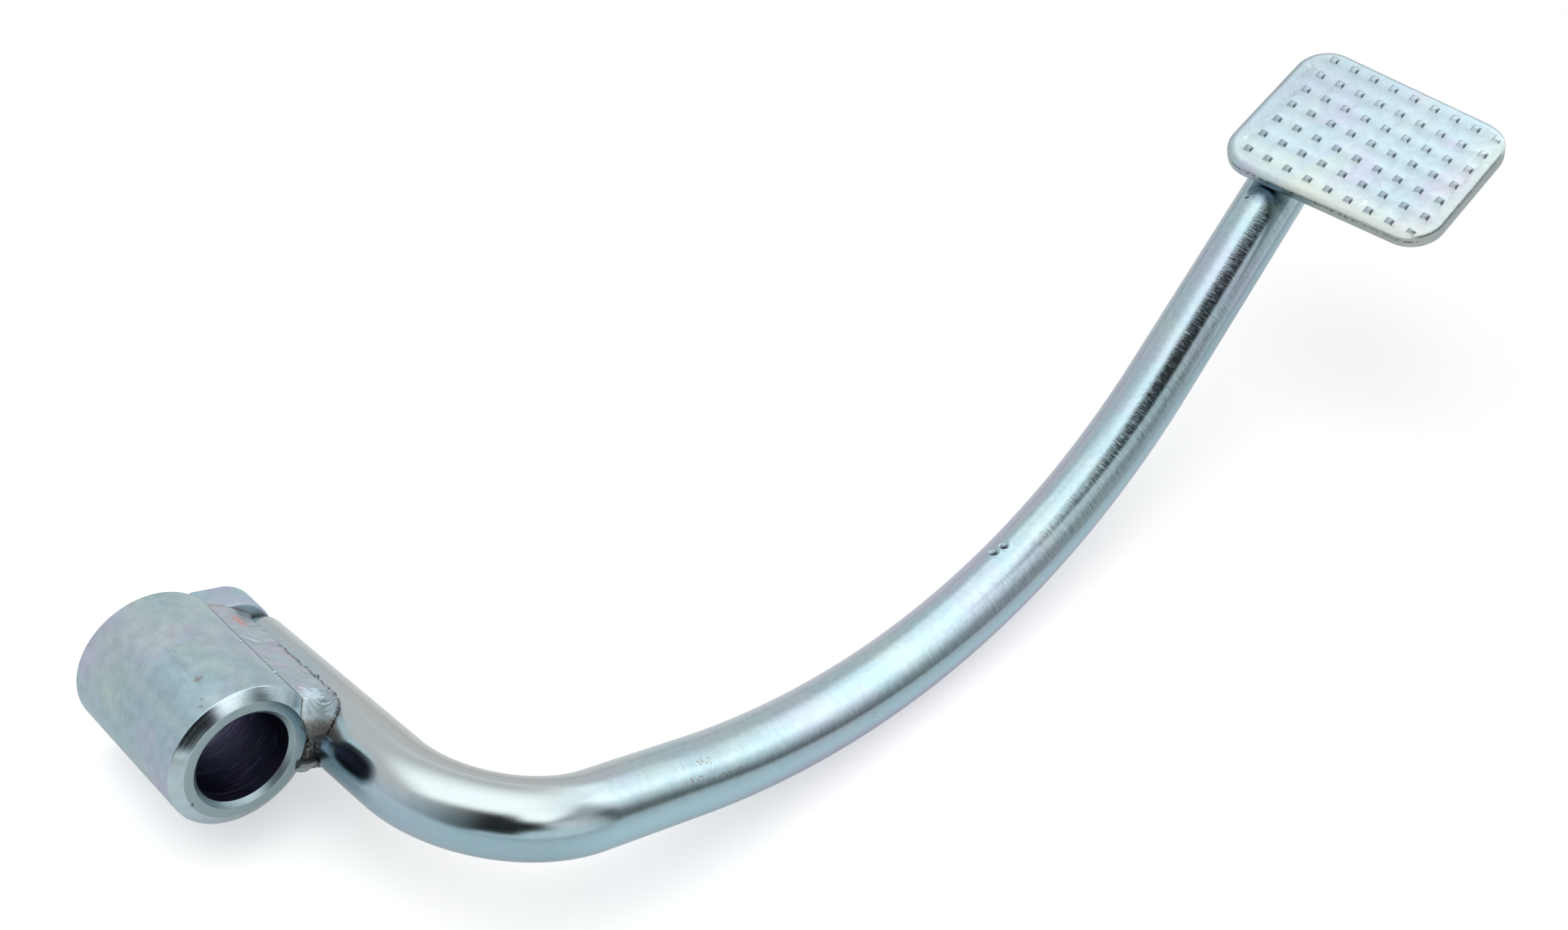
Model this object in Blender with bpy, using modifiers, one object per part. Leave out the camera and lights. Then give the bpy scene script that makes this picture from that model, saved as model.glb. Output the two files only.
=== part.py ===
"""Moped brake pedal: a turned pivot bush, a bent round-bar arm welded beside it and a stamped tread plate.

Frame: +Y runs along the bush's bore, from its outer face to its inner face, +X points forward to the
tread and +Z is up. The origin is the centre of the bush's outer face. All sizes are in metres.
"""

import math

import bmesh
import bpy
from mathutils import Matrix, Vector

COLLECTION_NAME = "moped_brake_pedal"

# Clearance kept between pieces that are welded face to face on the real pedal
GAP = 0.0003
MERGE = 0.00001

# Pivot bush, a turned tube
BORE_RADIUS = 0.0077
BUSH_WALL = 0.00435
BUSH_RADIUS = BORE_RADIUS + BUSH_WALL
BUSH_LENGTH = 0.0298
OUTER_CHAMFER_DEPTH = 0.0013
OUTER_CHAMFER_WIDTH = 0.00195
BORE_CHAMFER = 0.0008
REAR_EDGE_BREAK = 0.0004
BUSH_STEPS = 72

# Bent round bar: a straight root beside the bush, a tight bend, a neck, a long sweep and a tail
BAR_RADIUS = 0.0065
BAR_EDGE = 0.0006
BAR_BEVEL_RESOLUTION = 12
BAR_OFFSET = BUSH_RADIUS + GAP + BAR_RADIUS
ROOT_CENTRE_Y = 0.014
ROOT_RISE = math.radians(3.35)
ROOT_REACH = 0.0254
TIGHT_RADIUS = 0.02085
TIGHT_ANGLE = math.radians(93.6)
TIGHT_LIFT = math.radians(3.8)
NECK_LENGTH = 0.0214
SWEEP_RADIUS = 0.1948
SWEEP_ANGLE = math.radians(42.1)
SWEEP_ROLL = math.radians(77.4)
TAIL_LENGTH = 0.0774
TIGHT_STEPS = 14
SWEEP_STEPS = 22

# Lug across the inner ends of the bush and the bar: round at the bar, straight beside the bore
LUG_THICKNESS = 0.0062
LUG_RADIUS = 0.0079
LUG_INSET = 0.00385
LUG_BORE_CLEARANCE = 0.0012
LUG_TAPER = 0.0005
LUG_EDGE = 0.0008
LUG_ARC_STEPS = 24

# Tread plate: its corners are (outward, forward) from the middle of the pip pattern
PLATE_THICKNESS = 0.0030
PLATE_CORNERS = (
    (-0.0248, -0.0198),
    (0.0241, -0.0165),
    (0.0225, 0.0178),
    (-0.0258, 0.0174),
)
PLATE_CORNER_RADIUS = 0.0072
PLATE_CORNER_STEPS = 8
PLATE_ROLLOVER = 0.0014
PLATE_ROLLOVER_SEGMENTS = 5
PLATE_LOWER_EDGE = 0.0003
TREAD_LEAN = math.radians(6.2)
TREAD_TURN = math.radians(11.4)
TAIL_INBOARD = 0.0181
TAIL_BEYOND = 0.01045

# Raised pips stamped in the tread
PIP_PITCH = 0.00486
PIPS_ACROSS = 9
PIPS_FORWARD = 7
PIP_WIDTH = 0.0017
PIP_TOP_WIDTH = 0.0010
PIP_HEIGHT = 0.00035
PIP_ROOT = 0.0008

# Weld beads in the two valleys between bush and bar
BEAD_ROOT = 0.0034
BEAD_NOSE_ROOT = 0.0022
BEAD_BUSH_TOE = math.radians(46.0)
BEAD_BAR_TOE = math.radians(72.0)
LOWER_BEAD_SHARE = 0.6
BEAD_NOSE_REACH = 0.0018
BEAD_NOSE_LENGTH = 0.0042
BEAD_CROWN = 0.0003
BEAD_NOSE_CROWN = 0.0010
BEAD_CRESCENT = 0.0016
BEAD_RIPPLE = 0.00018
BEAD_RIPPLE_PITCH = 0.0021
BEAD_STATIONS = 46
BEAD_EDGE_POINTS = 5
BEAD_CROWN_POINTS = 8

# Fillet beads that hold the tread plate on the bar's tail
FILLET_ROOT = 0.0036
FILLET_BAR_TOE = math.radians(60.0)
FILLET_PLATE_TOE = 0.0066
FILLET_LENGTH = 0.0225
FILLET_SETBACK = 0.0015
FILLET_STATIONS = 24

ZINC = (0.62, 0.68, 0.71, 1.0)
ZINC_DARK = (0.50, 0.55, 0.58, 1.0)
WELD = (0.56, 0.58, 0.62, 1.0)


def clear_scene():
    """Remove every object that is already in the file."""
    for old in list(bpy.data.objects):
        bpy.data.objects.remove(old, do_unlink=True)


def new_collection(name, parent, hidden=False):
    """Make a collection and link it under its parent."""
    made = bpy.data.collections.new(name)
    made.hide_render = hidden
    parent.children.link(made)
    return made


def metal(name, colour, roughness):
    """A plated steel finish."""
    material = bpy.data.materials.new(name)
    material.use_nodes = True
    shader = material.node_tree.nodes["Principled BSDF"]
    shader.inputs["Base Color"].default_value = colour
    shader.inputs["Metallic"].default_value = 0.9
    shader.inputs["Roughness"].default_value = roughness
    return material


def add_object(name, data, collection, material=None):
    """Link a new object for some mesh or curve data and give it its material."""
    made = bpy.data.objects.new(name, data)
    collection.objects.link(made)
    if material:
        data.materials.append(material)
    return made


def mesh_from(name, build):
    """Make a mesh with the geometry that build puts in an empty bmesh."""
    mesh = bpy.data.meshes.new(name)
    bm = bmesh.new()
    build(bm)
    bmesh.ops.recalc_face_normals(bm, faces=bm.faces)
    bm.to_mesh(mesh)
    bm.free()
    return mesh


def smooth(mesh, degrees=35.0):
    """Shade a mesh smooth, with creases at its sharper edges."""
    mesh.shade_smooth()
    mesh.set_sharp_from_angle(angle=math.radians(degrees))


def arc_points(centre, radius, start, end, steps):
    """Points in a plane along an arc, both ends included."""
    turn = (end - start) / steps
    return [
        (centre[0] + radius * math.cos(start + turn * i), centre[1] + radius * math.sin(start + turn * i))
        for i in range(steps + 1)
    ]


def flat_outline(name, points, thickness, collection, material=None):
    """A plate from a closed outline, as a filled 2D curve extruded by its thickness."""
    curve = bpy.data.curves.new(name, "CURVE")
    curve.dimensions = "2D"
    curve.fill_mode = "BOTH"
    curve.extrude = thickness / 2
    spline = curve.splines.new("POLY")
    spline.points.add(len(points) - 1)
    for point, (x, y) in zip(spline.points, points):
        point.co = (x, y, 0.0, 1.0)
    spline.use_cyclic_u = True
    return add_object(name, curve, collection, material)


def curve_to_mesh(source, collection, material):
    """Replace a curve object by a welded mesh object of the same name and place."""
    name = source.name
    place = source.matrix_world.copy()
    evaluated = source.evaluated_get(bpy.context.evaluated_depsgraph_get())
    mesh = bpy.data.meshes.new_from_object(evaluated)
    bm = bmesh.new()
    bm.from_mesh(mesh)
    bmesh.ops.remove_doubles(bm, verts=bm.verts, dist=MERGE)
    bmesh.ops.dissolve_limit(bm, angle_limit=math.radians(0.5), verts=bm.verts, edges=bm.edges)
    bmesh.ops.recalc_face_normals(bm, faces=bm.faces)
    bm.to_mesh(mesh)
    bm.free()
    mesh.materials.clear()
    bpy.data.objects.remove(source, do_unlink=True)
    made = add_object(name, mesh, collection, material)
    made.matrix_world = place
    return made


def loft(name, sections, collection, material):
    """A closed solid through sections that all have the same number of points."""

    def build(bm):
        rings = [[bm.verts.new(point) for point in section] for section in sections]
        for ring, following in zip(rings, rings[1:]):
            for i, vert in enumerate(ring):
                j = (i + 1) % len(ring)
                bm.faces.new((vert, ring[j], following[j], following[i]))
        bm.faces.new(rings[0])
        bm.faces.new(list(reversed(rings[-1])))
        bmesh.ops.triangulate(bm, faces=[face for face in bm.faces if len(face.verts) > 4])

    mesh = mesh_from(name, build)
    smooth(mesh, 50.0)
    return add_object(name, mesh, collection, material)


def lerp(a, b, share):
    """The value that lies a share of the way from a to b."""
    return a + (b - a) * share


class Path:
    """A centre line that grows by straights and bends from a start point and a direction."""

    def __init__(self, start, direction):
        self.points = [start.copy()]
        self.direction = direction.normalized()

    def straight(self, length):
        self.points.append(self.points[-1] + self.direction * length)

    def bend(self, radius, angle, inward, steps):
        """Bend towards inward, a unit vector square to the direction. Returns its new value."""
        start = self.points[-1]
        along = self.direction
        for i in range(1, steps + 1):
            turned = angle * i / steps
            offset = along * math.sin(turned) + inward * (1.0 - math.cos(turned))
            self.points.append(start + offset * radius)
        self.direction = along * math.cos(angle) + inward * math.sin(angle)
        return inward * math.cos(angle) - along * math.sin(angle)


def root_direction():
    """The direction of the bar's root, outwards and slightly up."""
    return Vector((0.0, -math.cos(ROOT_RISE), math.sin(ROOT_RISE)))


def root_point(y):
    """The bar's centre beside the bush, at a place along the bush's axis."""
    middle = Vector((BAR_OFFSET, ROOT_CENTRE_Y, 0.0))
    direction = root_direction()
    return middle + direction * ((y - ROOT_CENTRE_Y) / direction.y)


def bar_path():
    """The bar's whole centre line, from its end beside the bush to its end under the tread."""
    path = Path(root_point(BUSH_LENGTH - BAR_RADIUS * math.sin(ROOT_RISE)), root_direction())
    root_front = root_point(ROOT_CENTRE_Y) + root_direction() * ROOT_REACH
    path.straight((root_front - path.points[0]).length)
    lifted = Vector((math.cos(TIGHT_LIFT), 0.0, math.sin(TIGHT_LIFT)))
    inward = (lifted - path.direction * lifted.dot(path.direction)).normalized()
    inward = path.bend(TIGHT_RADIUS, TIGHT_ANGLE, inward, TIGHT_STEPS)
    path.straight(NECK_LENGTH)
    inward = Matrix.Rotation(SWEEP_ROLL, 3, path.direction) @ inward
    path.bend(SWEEP_RADIUS, SWEEP_ANGLE, inward, SWEEP_STEPS)
    path.straight(TAIL_LENGTH)
    return path


def tread_axes(tail):
    """The tread's outward, forward and facing directions, from the direction of the bar's tail."""
    outward = Vector((0.0, -1.0, 0.0))
    outward = (outward - tail * outward.dot(tail)).normalized()
    outward = Matrix.Rotation(TREAD_LEAN, 3, tail) @ outward
    facing = outward.cross(tail)
    turn = Matrix.Rotation(-TREAD_TURN, 3, facing)
    return turn @ outward, turn @ tail, facing


def make_bush(collection, material):
    """The pivot bush: a turned tube with a wide outer chamfer and chamfered bore."""
    mouth = BORE_RADIUS + BORE_CHAMFER
    profile = (
        (mouth, BUSH_LENGTH),
        (BUSH_RADIUS - REAR_EDGE_BREAK, BUSH_LENGTH),
        (BUSH_RADIUS, BUSH_LENGTH - REAR_EDGE_BREAK),
        (BUSH_RADIUS, OUTER_CHAMFER_DEPTH),
        (BUSH_RADIUS - OUTER_CHAMFER_WIDTH, 0.0),
        (mouth, 0.0),
        (BORE_RADIUS, BORE_CHAMFER),
        (BORE_RADIUS, BUSH_LENGTH - BORE_CHAMFER),
    )

    def build(bm):
        verts = [bm.verts.new((radius, 0.0, height)) for radius, height in profile]
        for i, vert in enumerate(verts):
            bm.edges.new((vert, verts[(i + 1) % len(verts)]))

    bush = add_object("pivot_bush", mesh_from("pivot_bush", build), collection, material)
    screw = bush.modifiers.new("turn", "SCREW")
    screw.steps = BUSH_STEPS
    screw.render_steps = BUSH_STEPS
    screw.use_merge_vertices = True
    screw.merge_threshold = MERGE
    bush.rotation_euler.x = -math.pi / 2
    return bush


def make_bar(path, collection, material):
    """The pedal arm: one round bar, cut square and lightly deburred at both ends."""
    curve = bpy.data.curves.new("pedal_arm", "CURVE")
    curve.dimensions = "3D"
    curve.bevel_depth = BAR_RADIUS
    curve.bevel_resolution = BAR_BEVEL_RESOLUTION
    curve.use_fill_caps = True
    spline = curve.splines.new("POLY")
    spline.points.add(len(path.points) - 1)
    for point, place in zip(spline.points, path.points):
        point.co = (*place, 1.0)
    bar = add_object("pedal_arm", curve, collection, material)
    weld = bar.modifiers.new("close caps", "WELD")
    weld.merge_threshold = MERGE
    deburr = bar.modifiers.new("deburr", "BEVEL")
    deburr.width = BAR_EDGE
    deburr.segments = 2
    deburr.limit_method = "ANGLE"
    deburr.angle_limit = math.radians(60.0)
    return bar


def make_lug(collection, material):
    """The lug that closes the inner end of the joint between bush and bar."""
    centre = (BAR_OFFSET - LUG_INSET, 0.0)
    side = BORE_RADIUS + LUG_BORE_CLEARANCE
    height = LUG_RADIUS - LUG_TAPER
    nose = arc_points(centre, LUG_RADIUS, -math.pi / 2, math.pi / 2, LUG_ARC_STEPS)
    upper = [(side + LUG_EDGE, height), (side, height - LUG_EDGE)]
    lower = [(x, -y) for x, y in reversed(upper)]
    outline = nose + upper + lower
    lug = flat_outline("rear_lug", outline, LUG_THICKNESS, collection, material)
    lug.rotation_euler.x = math.pi / 2
    lug.location.y = BUSH_LENGTH + GAP + LUG_THICKNESS / 2
    weld = lug.modifiers.new("close caps", "WELD")
    weld.merge_threshold = MERGE
    edges = lug.modifiers.new("rounded edges", "BEVEL")
    edges.width = LUG_EDGE
    edges.segments = 3
    edges.limit_method = "ANGLE"
    edges.angle_limit = math.radians(80.0)
    return lug


def rounded_outline(corners, radius, steps):
    """A closed outline of straight sides, run counter-clockwise, with an arc at each corner."""
    points = []
    count = len(corners)
    for i in range(count):
        corner = Vector(corners[i])
        before = (Vector(corners[i - 1]) - corner).normalized()
        after = (Vector(corners[(i + 1) % count]) - corner).normalized()
        half = before.angle(after) / 2
        centre = corner + (before + after).normalized() * (radius / math.sin(half))
        first = corner + before * (radius / math.tan(half)) - centre
        start = math.atan2(first.y, first.x)
        points += arc_points(centre, radius, start, start + math.pi - 2.0 * half, steps)
    return points


def make_pips(place, collection):
    """The grid of raised pips: one low frustum on a straight root, repeated both ways."""
    levels = ((-PIP_ROOT, PIP_WIDTH), (0.0, PIP_WIDTH), (PIP_HEIGHT, PIP_TOP_WIDTH))
    signs = ((-0.5, -0.5), (0.5, -0.5), (0.5, 0.5), (-0.5, 0.5))

    def build(bm):
        rings = [[bm.verts.new((width * x, width * y, level)) for x, y in signs] for level, width in levels]
        for ring, following in zip(rings, rings[1:]):
            for i in range(4):
                j = (i + 1) % 4
                bm.faces.new((ring[i], ring[j], following[j], following[i]))
        bm.faces.new(rings[0][::-1])
        bm.faces.new(rings[-1])

    pips = add_object("pip_grid", mesh_from("pip_grid", build), collection)
    rows = ((0, PIPS_ACROSS), (1, PIPS_FORWARD))
    for axis, count in rows:
        array = pips.modifiers.new("repeat", "ARRAY")
        array.count = count
        array.use_relative_offset = False
        array.use_constant_offset = True
        array.constant_offset_displace = [PIP_PITCH if i == axis else 0.0 for i in range(3)]
    first = Matrix.Translation(
        (-PIP_PITCH * (PIPS_ACROSS - 1) / 2, -PIP_PITCH * (PIPS_FORWARD - 1) / 2, PLATE_THICKNESS / 2)
    )
    pips.matrix_world = place @ first
    pips.hide_render = True
    pips.display_type = "WIRE"
    return pips


def make_tread(place, collection, cutters, material):
    """The stamped tread plate, rolled over at its top rim, with its grid of pips."""
    outline = rounded_outline(PLATE_CORNERS, PLATE_CORNER_RADIUS, PLATE_CORNER_STEPS)
    curve = flat_outline("tread_plate", outline, PLATE_THICKNESS, collection)
    plate = curve_to_mesh(curve, collection, material)
    bm = bmesh.new()
    bm.from_mesh(plate.data)
    for side, width, segments in ((1.0, PLATE_ROLLOVER, PLATE_ROLLOVER_SEGMENTS), (-1.0, PLATE_LOWER_EDGE, 1)):
        level = side * PLATE_THICKNESS / 2
        rim = [edge for edge in bm.edges if all(abs(vert.co.z - level) < MERGE for vert in edge.verts)]
        bmesh.ops.bevel(
            bm,
            geom=rim,
            offset=width,
            offset_type="OFFSET",
            segments=segments,
            profile=0.5,
            affect="EDGES",
        )
    bm.to_mesh(plate.data)
    bm.free()
    plate.matrix_world = place
    bpy.context.view_layer.update()
    pips = make_pips(place, cutters)
    join = plate.modifiers.new("pips", "BOOLEAN")
    join.operation = "UNION"
    join.object = pips
    return plate


def bead_section(y, side, share, open_share, crescent, crown_height):
    """One section of a bead between bush and bar: up the bush, over the crown and down the bar."""
    bar = root_point(y)
    distance = math.hypot(bar.x, bar.z)
    lean = math.atan2(bar.z, bar.x)
    beside = max(0.0, min(1.0, y / OUTER_CHAMFER_DEPTH))
    bush_radius = BUSH_RADIUS - OUTER_CHAMFER_WIDTH * (1.0 - beside) + GAP
    bar_radius = BAR_RADIUS + GAP
    root = lerp(BEAD_NOSE_ROOT, BEAD_ROOT, beside)
    bush_root = math.asin(root / bush_radius)
    bar_root = math.asin(root / bar_radius)
    bush_toe = lerp(bush_root, BEAD_BUSH_TOE * share, open_share)
    bar_toe = lerp(bar_root, BEAD_BAR_TOE * share, open_share)
    on_bush = []
    on_bar = []
    for i in range(BEAD_EDGE_POINTS):
        step = i / (BEAD_EDGE_POINTS - 1)
        bush_angle = lean + side * lerp(bush_root, bush_toe, step)
        bar_angle = lean + math.pi - side * lerp(bar_root, bar_toe, step)
        on_bush.append(Vector((bush_radius * math.cos(bush_angle), y, bush_radius * math.sin(bush_angle))))
        on_bar.append(
            Vector(
                (
                    distance * math.cos(lean) + bar_radius * math.cos(bar_angle),
                    y,
                    distance * math.sin(lean) + bar_radius * math.sin(bar_angle),
                )
            )
        )
    crown = []
    for i in range(1, BEAD_CROWN_POINTS):
        step = i / BEAD_CROWN_POINTS
        bow = math.sin(math.pi * step)
        point = on_bush[-1].lerp(on_bar[-1], step)
        point.z += side * bow * crown_height
        point.y -= crescent * bow
        crown.append(point)
    return on_bush + crown + on_bar[::-1]


def make_bead(name, side, share, collection, material):
    """A weld bead along the valley between bush and bar, with crescent ripples and a domed nose."""
    rear = BUSH_LENGTH
    front = -BEAD_NOSE_REACH * share
    sections = []
    for i in range(BEAD_STATIONS + 1):
        travel = i / BEAD_STATIONS
        y = lerp(rear, front, travel)
        ahead = max(0.0, min(1.0, (y - front) / BEAD_NOSE_LENGTH))
        open_share = max(0.1, math.sqrt(1.0 - (1.0 - ahead) ** 2))
        crescent = BEAD_CRESCENT * min(1.0, (rear - y) / BEAD_NOSE_LENGTH, ahead)
        ripple = BEAD_RIPPLE * math.sin(2.0 * math.pi * (rear - y) / BEAD_RIPPLE_PITCH)
        crown_height = (lerp(BEAD_CROWN, BEAD_NOSE_CROWN, travel**3) + ripple) * open_share * share
        sections.append(bead_section(y, side, share, open_share, crescent, crown_height))
    return loft(name, sections, collection, material)


def fillet_section(side, open_share):
    """One section of a fillet in the tail's frame: along the plate, over the crown, down the bar."""
    bar_radius = BAR_RADIUS + GAP
    level = BAR_RADIUS
    plate_toe = lerp(FILLET_ROOT, FILLET_PLATE_TOE, open_share)
    root_angle = math.asin(FILLET_ROOT / bar_radius)
    bar_toe = lerp(root_angle, FILLET_BAR_TOE, open_share)
    on_plate = []
    on_bar = []
    for i in range(BEAD_EDGE_POINTS):
        step = i / (BEAD_EDGE_POINTS - 1)
        angle = lerp(root_angle, bar_toe, step)
        on_plate.append(Vector((side * lerp(FILLET_ROOT, plate_toe, step), level)))
        on_bar.append(Vector((side * bar_radius * math.sin(angle), bar_radius * math.cos(angle))))
    crown = []
    for i in range(1, BEAD_CROWN_POINTS):
        step = i / BEAD_CROWN_POINTS
        crown.append(on_plate[-1].lerp(on_bar[-1], step))
    return on_plate + crown + on_bar[::-1]


def make_fillet(name, side, tail_end, axes, collection, material):
    """A fillet bead along one side of the bar's tail, under the tread plate."""
    outward, tail, facing = axes
    sections = []
    for i in range(FILLET_STATIONS + 1):
        travel = i / FILLET_STATIONS
        back = FILLET_SETBACK + FILLET_LENGTH * travel
        open_share = max(0.15, math.sqrt(max(0.0, 1.0 - (2.0 * travel - 1.0) ** 6)))
        centre = tail_end - tail * back
        sections.append([centre + outward * p.x + facing * p.y for p in fillet_section(side, open_share)])
    return loft(name, sections, collection, material)


def main():
    clear_scene()
    parts = new_collection(COLLECTION_NAME, bpy.context.scene.collection)
    cutters = new_collection("cutters", bpy.context.scene.collection, hidden=True)
    zinc = metal("zinc_plate", ZINC, 0.32)
    bar_zinc = metal("zinc_plate_bar", ZINC_DARK, 0.28)
    tread_zinc = metal("zinc_plate_tread", ZINC, 0.38)
    weld = metal("weld_metal", WELD, 0.35)

    make_bush(parts, zinc)
    path = bar_path()
    make_bar(path, parts, bar_zinc)
    make_lug(parts, zinc)
    make_bead("bush_weld_upper", 1.0, 1.0, parts, weld)
    make_bead("bush_weld_lower", -1.0, LOWER_BEAD_SHARE, parts, weld)

    tail_end = path.points[-1]
    outward, forward, facing = tread_axes(path.direction)
    underside = tail_end + facing * (BAR_RADIUS + GAP)
    middle = underside + outward * TAIL_INBOARD - forward * TAIL_BEYOND + facing * (PLATE_THICKNESS / 2)
    place = Matrix.Translation(middle) @ Matrix((outward, forward, facing)).transposed().to_4x4()
    make_tread(place, parts, cutters, tread_zinc)
    side_axes = (facing.cross(path.direction) * -1.0, path.direction, facing)
    make_fillet("tread_weld_outer", 1.0, tail_end, side_axes, parts, weld)
    make_fillet("tread_weld_inner", -1.0, tail_end, side_axes, parts, weld)


main()
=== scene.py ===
import math

import bmesh
import bpy
from mathutils import Matrix, Vector, geometry, noise


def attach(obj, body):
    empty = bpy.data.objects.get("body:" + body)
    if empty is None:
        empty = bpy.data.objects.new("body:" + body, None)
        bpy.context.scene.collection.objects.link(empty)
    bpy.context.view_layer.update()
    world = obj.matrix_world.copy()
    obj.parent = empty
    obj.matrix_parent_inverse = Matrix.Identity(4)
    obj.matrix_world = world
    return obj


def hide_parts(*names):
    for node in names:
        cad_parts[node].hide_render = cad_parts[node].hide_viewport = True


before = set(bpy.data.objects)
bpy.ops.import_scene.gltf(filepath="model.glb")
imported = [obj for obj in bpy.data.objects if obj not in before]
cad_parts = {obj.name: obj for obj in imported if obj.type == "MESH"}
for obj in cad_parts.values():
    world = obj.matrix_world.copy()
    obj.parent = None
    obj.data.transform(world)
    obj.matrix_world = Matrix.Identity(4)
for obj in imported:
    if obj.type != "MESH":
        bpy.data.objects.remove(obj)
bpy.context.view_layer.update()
mm = 0.001


# small helpers

def lerp(a, b, share):
    return a + (b - a) * share


def smoothStep(low, high, value):
    share = max(0.0, min(1.0, (value - low) / (high - low)))
    return share * share * (3.0 - 2.0 * share)


def ramps(value, *pairs):
    # the product of smooth steps, each from the first number of its pair to the second
    return math.prod(smoothStep(low, high, value) for low, high in pairs)


def ringFaces(count, rows, closedRows=False):
    # quads between rings that each have count points
    faces = []
    for j in range(rows if closedRows else rows - 1):
        k = (j + 1) % rows
        for i in range(count):
            n = (i + 1) % count
            faces.append((j * count + i, j * count + n, k * count + n, k * count + i))
    return faces


def tubeFaces(count, rows):
    # the quads of a tube and a face over each of its ends
    last = (rows - 1) * count
    return ringFaces(count, rows) + [tuple(range(count)), tuple(range(last, last + count))]


def quarterArc(radius, steps):
    # how far each point of a rounded edge lies under the top and in from the side
    turns = [math.pi / 2 * i / steps for i in range(steps + 1)]
    return [(radius * (1.0 - math.sin(turn)), radius * (1.0 - math.cos(turn))) for turn in turns]


def axesMatrix(place, axes):
    return Matrix.Translation(place) @ Matrix(axes).transposed().to_4x4()


def addObject(name, data):
    made = bpy.data.objects.new(name, data)
    bpy.context.scene.collection.objects.link(made)
    return made


# shader nodes

def feed(tree, node, inputs):
    # sockets by name or number: an output is linked, a plain value is set and None is left alone
    for key, value in inputs.items():
        if isinstance(value, bpy.types.NodeSocket):
            tree.links.new(value, node.inputs[key])
        elif value is not None:
            node.inputs[key].default_value = value


def addNode(tree, kind, inputs=None, **settings):
    made = tree.nodes.new("ShaderNode" + kind)
    for key, value in settings.items():
        setattr(made, key, value)
    feed(tree, made, inputs or {})
    return made


def mathNode(tree, operation, *values):
    return addNode(tree, "Math", dict(enumerate(values)), operation=operation).outputs[0]


def vectorNode(tree, operation, a, b=None, scale=None):
    made = addNode(tree, "VectorMath", {0: a, 1: b, "Scale": scale}, operation=operation)
    return made.outputs["Value" if operation == "LENGTH" else "Vector"]


def rangeNode(tree, value, low, high, toLow=0.0, toHigh=1.0, smooth=True):
    names = ("Value", "From Min", "From Max", "To Min", "To Max")
    inputs = dict(zip(names, (value, low, high, toLow, toHigh)))
    kind = "SMOOTHSTEP" if smooth else "LINEAR"
    return addNode(tree, "MapRange", inputs, interpolation_type=kind).outputs["Result"]


def noiseNode(tree, vector, scale, detail=3.0, roughness=0.5, distortion=0.0):
    inputs = dict(Vector=vector, Scale=scale, Detail=detail, Roughness=roughness, Distortion=distortion)
    return addNode(tree, "TexNoise", inputs).outputs["Fac"]


def mixNode(tree, share, a, b):
    return addNode(tree, "Mix", {0: share, 6: a, 7: b}, data_type="RGBA").outputs[2]


def newMaterial(name):
    made = bpy.data.materials.new(name)
    made.use_nodes = True
    made.node_tree.nodes.clear()
    return made


# camera, table and light

view = dict(
    place=(-0.18132661, -0.22969928, 0.17812415),
    right=(0.68963, -0.65903, 0.30014),
    up=(0.05109, 0.45771, 0.88763),
    back=(-0.72235, -0.59681, 0.34932),
    lens=51.169,
    sensor=36.0,
    nearest=0.01,
)

table = dict(
    normal=(-0.30215, -0.23502, 0.92383),    # the pedal lies tipped on its lug and on the sweep
    level=-20.61 * mm,
    across=9.0,
    litColour=(0.90, 0.90, 0.90, 1.0),
    glow=0.44,
    mirrorGlow=0.12,    # what the metal sees of the same glow
    fadeFrom=0.45,
    fadeTo=1.0,
)

studio = dict(
    middle=(0.10, 0.0, 0.03),
    softboxMiddle=(-0.225, 0.03, 0.50),    # right, away and up from the table, in metres
    softboxSides=(0.75, 0.52),
    softboxPower=1.8,
    skyFill=0.48,
)


def tableAxes():
    # right and away lie in the table, square to its normal
    up = Vector(table["normal"]).normalized()
    right = Vector(view["right"])
    right = (right - up * right.dot(up)).normalized()
    return right, up.cross(right), up


def studioDirection(azimuth, height):
    right, away, up = tableAxes()
    turn = math.radians(azimuth)
    lift = math.radians(height)
    flat = right * math.cos(turn) + away * math.sin(turn)
    return flat * math.cos(lift) + up * math.sin(lift)


def makeCamera():
    camera = addObject("camera", bpy.data.cameras.new("camera"))
    camera.data.lens = view["lens"]
    camera.data.sensor_width = view["sensor"]
    camera.data.clip_start = view["nearest"]
    camera.matrix_world = axesMatrix(view["place"], (view["right"], view["up"], view["back"]))
    bpy.context.scene.camera = camera


def tableMaterial():
    # plain white close by, fading to pure white for the camera alone, and clear from below
    material = newMaterial("whiteTable")
    tree = material.node_tree
    path = addNode(tree, "LightPath").outputs
    place = addNode(tree, "TexCoord").outputs["Object"]
    fade = rangeNode(tree, vectorNode(tree, "LENGTH", place), table["fadeFrom"], table["fadeTo"])
    fade = mathNode(tree, "MULTIPLY", fade, path["Is Camera Ray"])
    mirrored = mathNode(tree, "MULTIPLY", path["Is Glossy Ray"], table["mirrorGlow"])
    strength = mathNode(tree, "MULTIPLY_ADD", path["Is Camera Ray"], table["glow"], mirrored)
    lit = addNode(tree, "BsdfDiffuse", {"Color": table["litColour"]}).outputs[0]
    glow = addNode(tree, "Emission", {"Strength": strength}).outputs[0]
    near = addNode(tree, "AddShader", {0: lit, 1: glow}).outputs[0]
    far = addNode(tree, "Emission").outputs[0]
    front = addNode(tree, "MixShader", {0: fade, 1: near, 2: far}).outputs[0]
    below = addNode(tree, "NewGeometry").outputs["Backfacing"]
    clear = addNode(tree, "BsdfTransparent").outputs[0]
    both = addNode(tree, "MixShader", {0: below, 1: front, 2: clear}).outputs[0]
    addNode(tree, "OutputMaterial", {"Surface": both})
    return material


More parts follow.
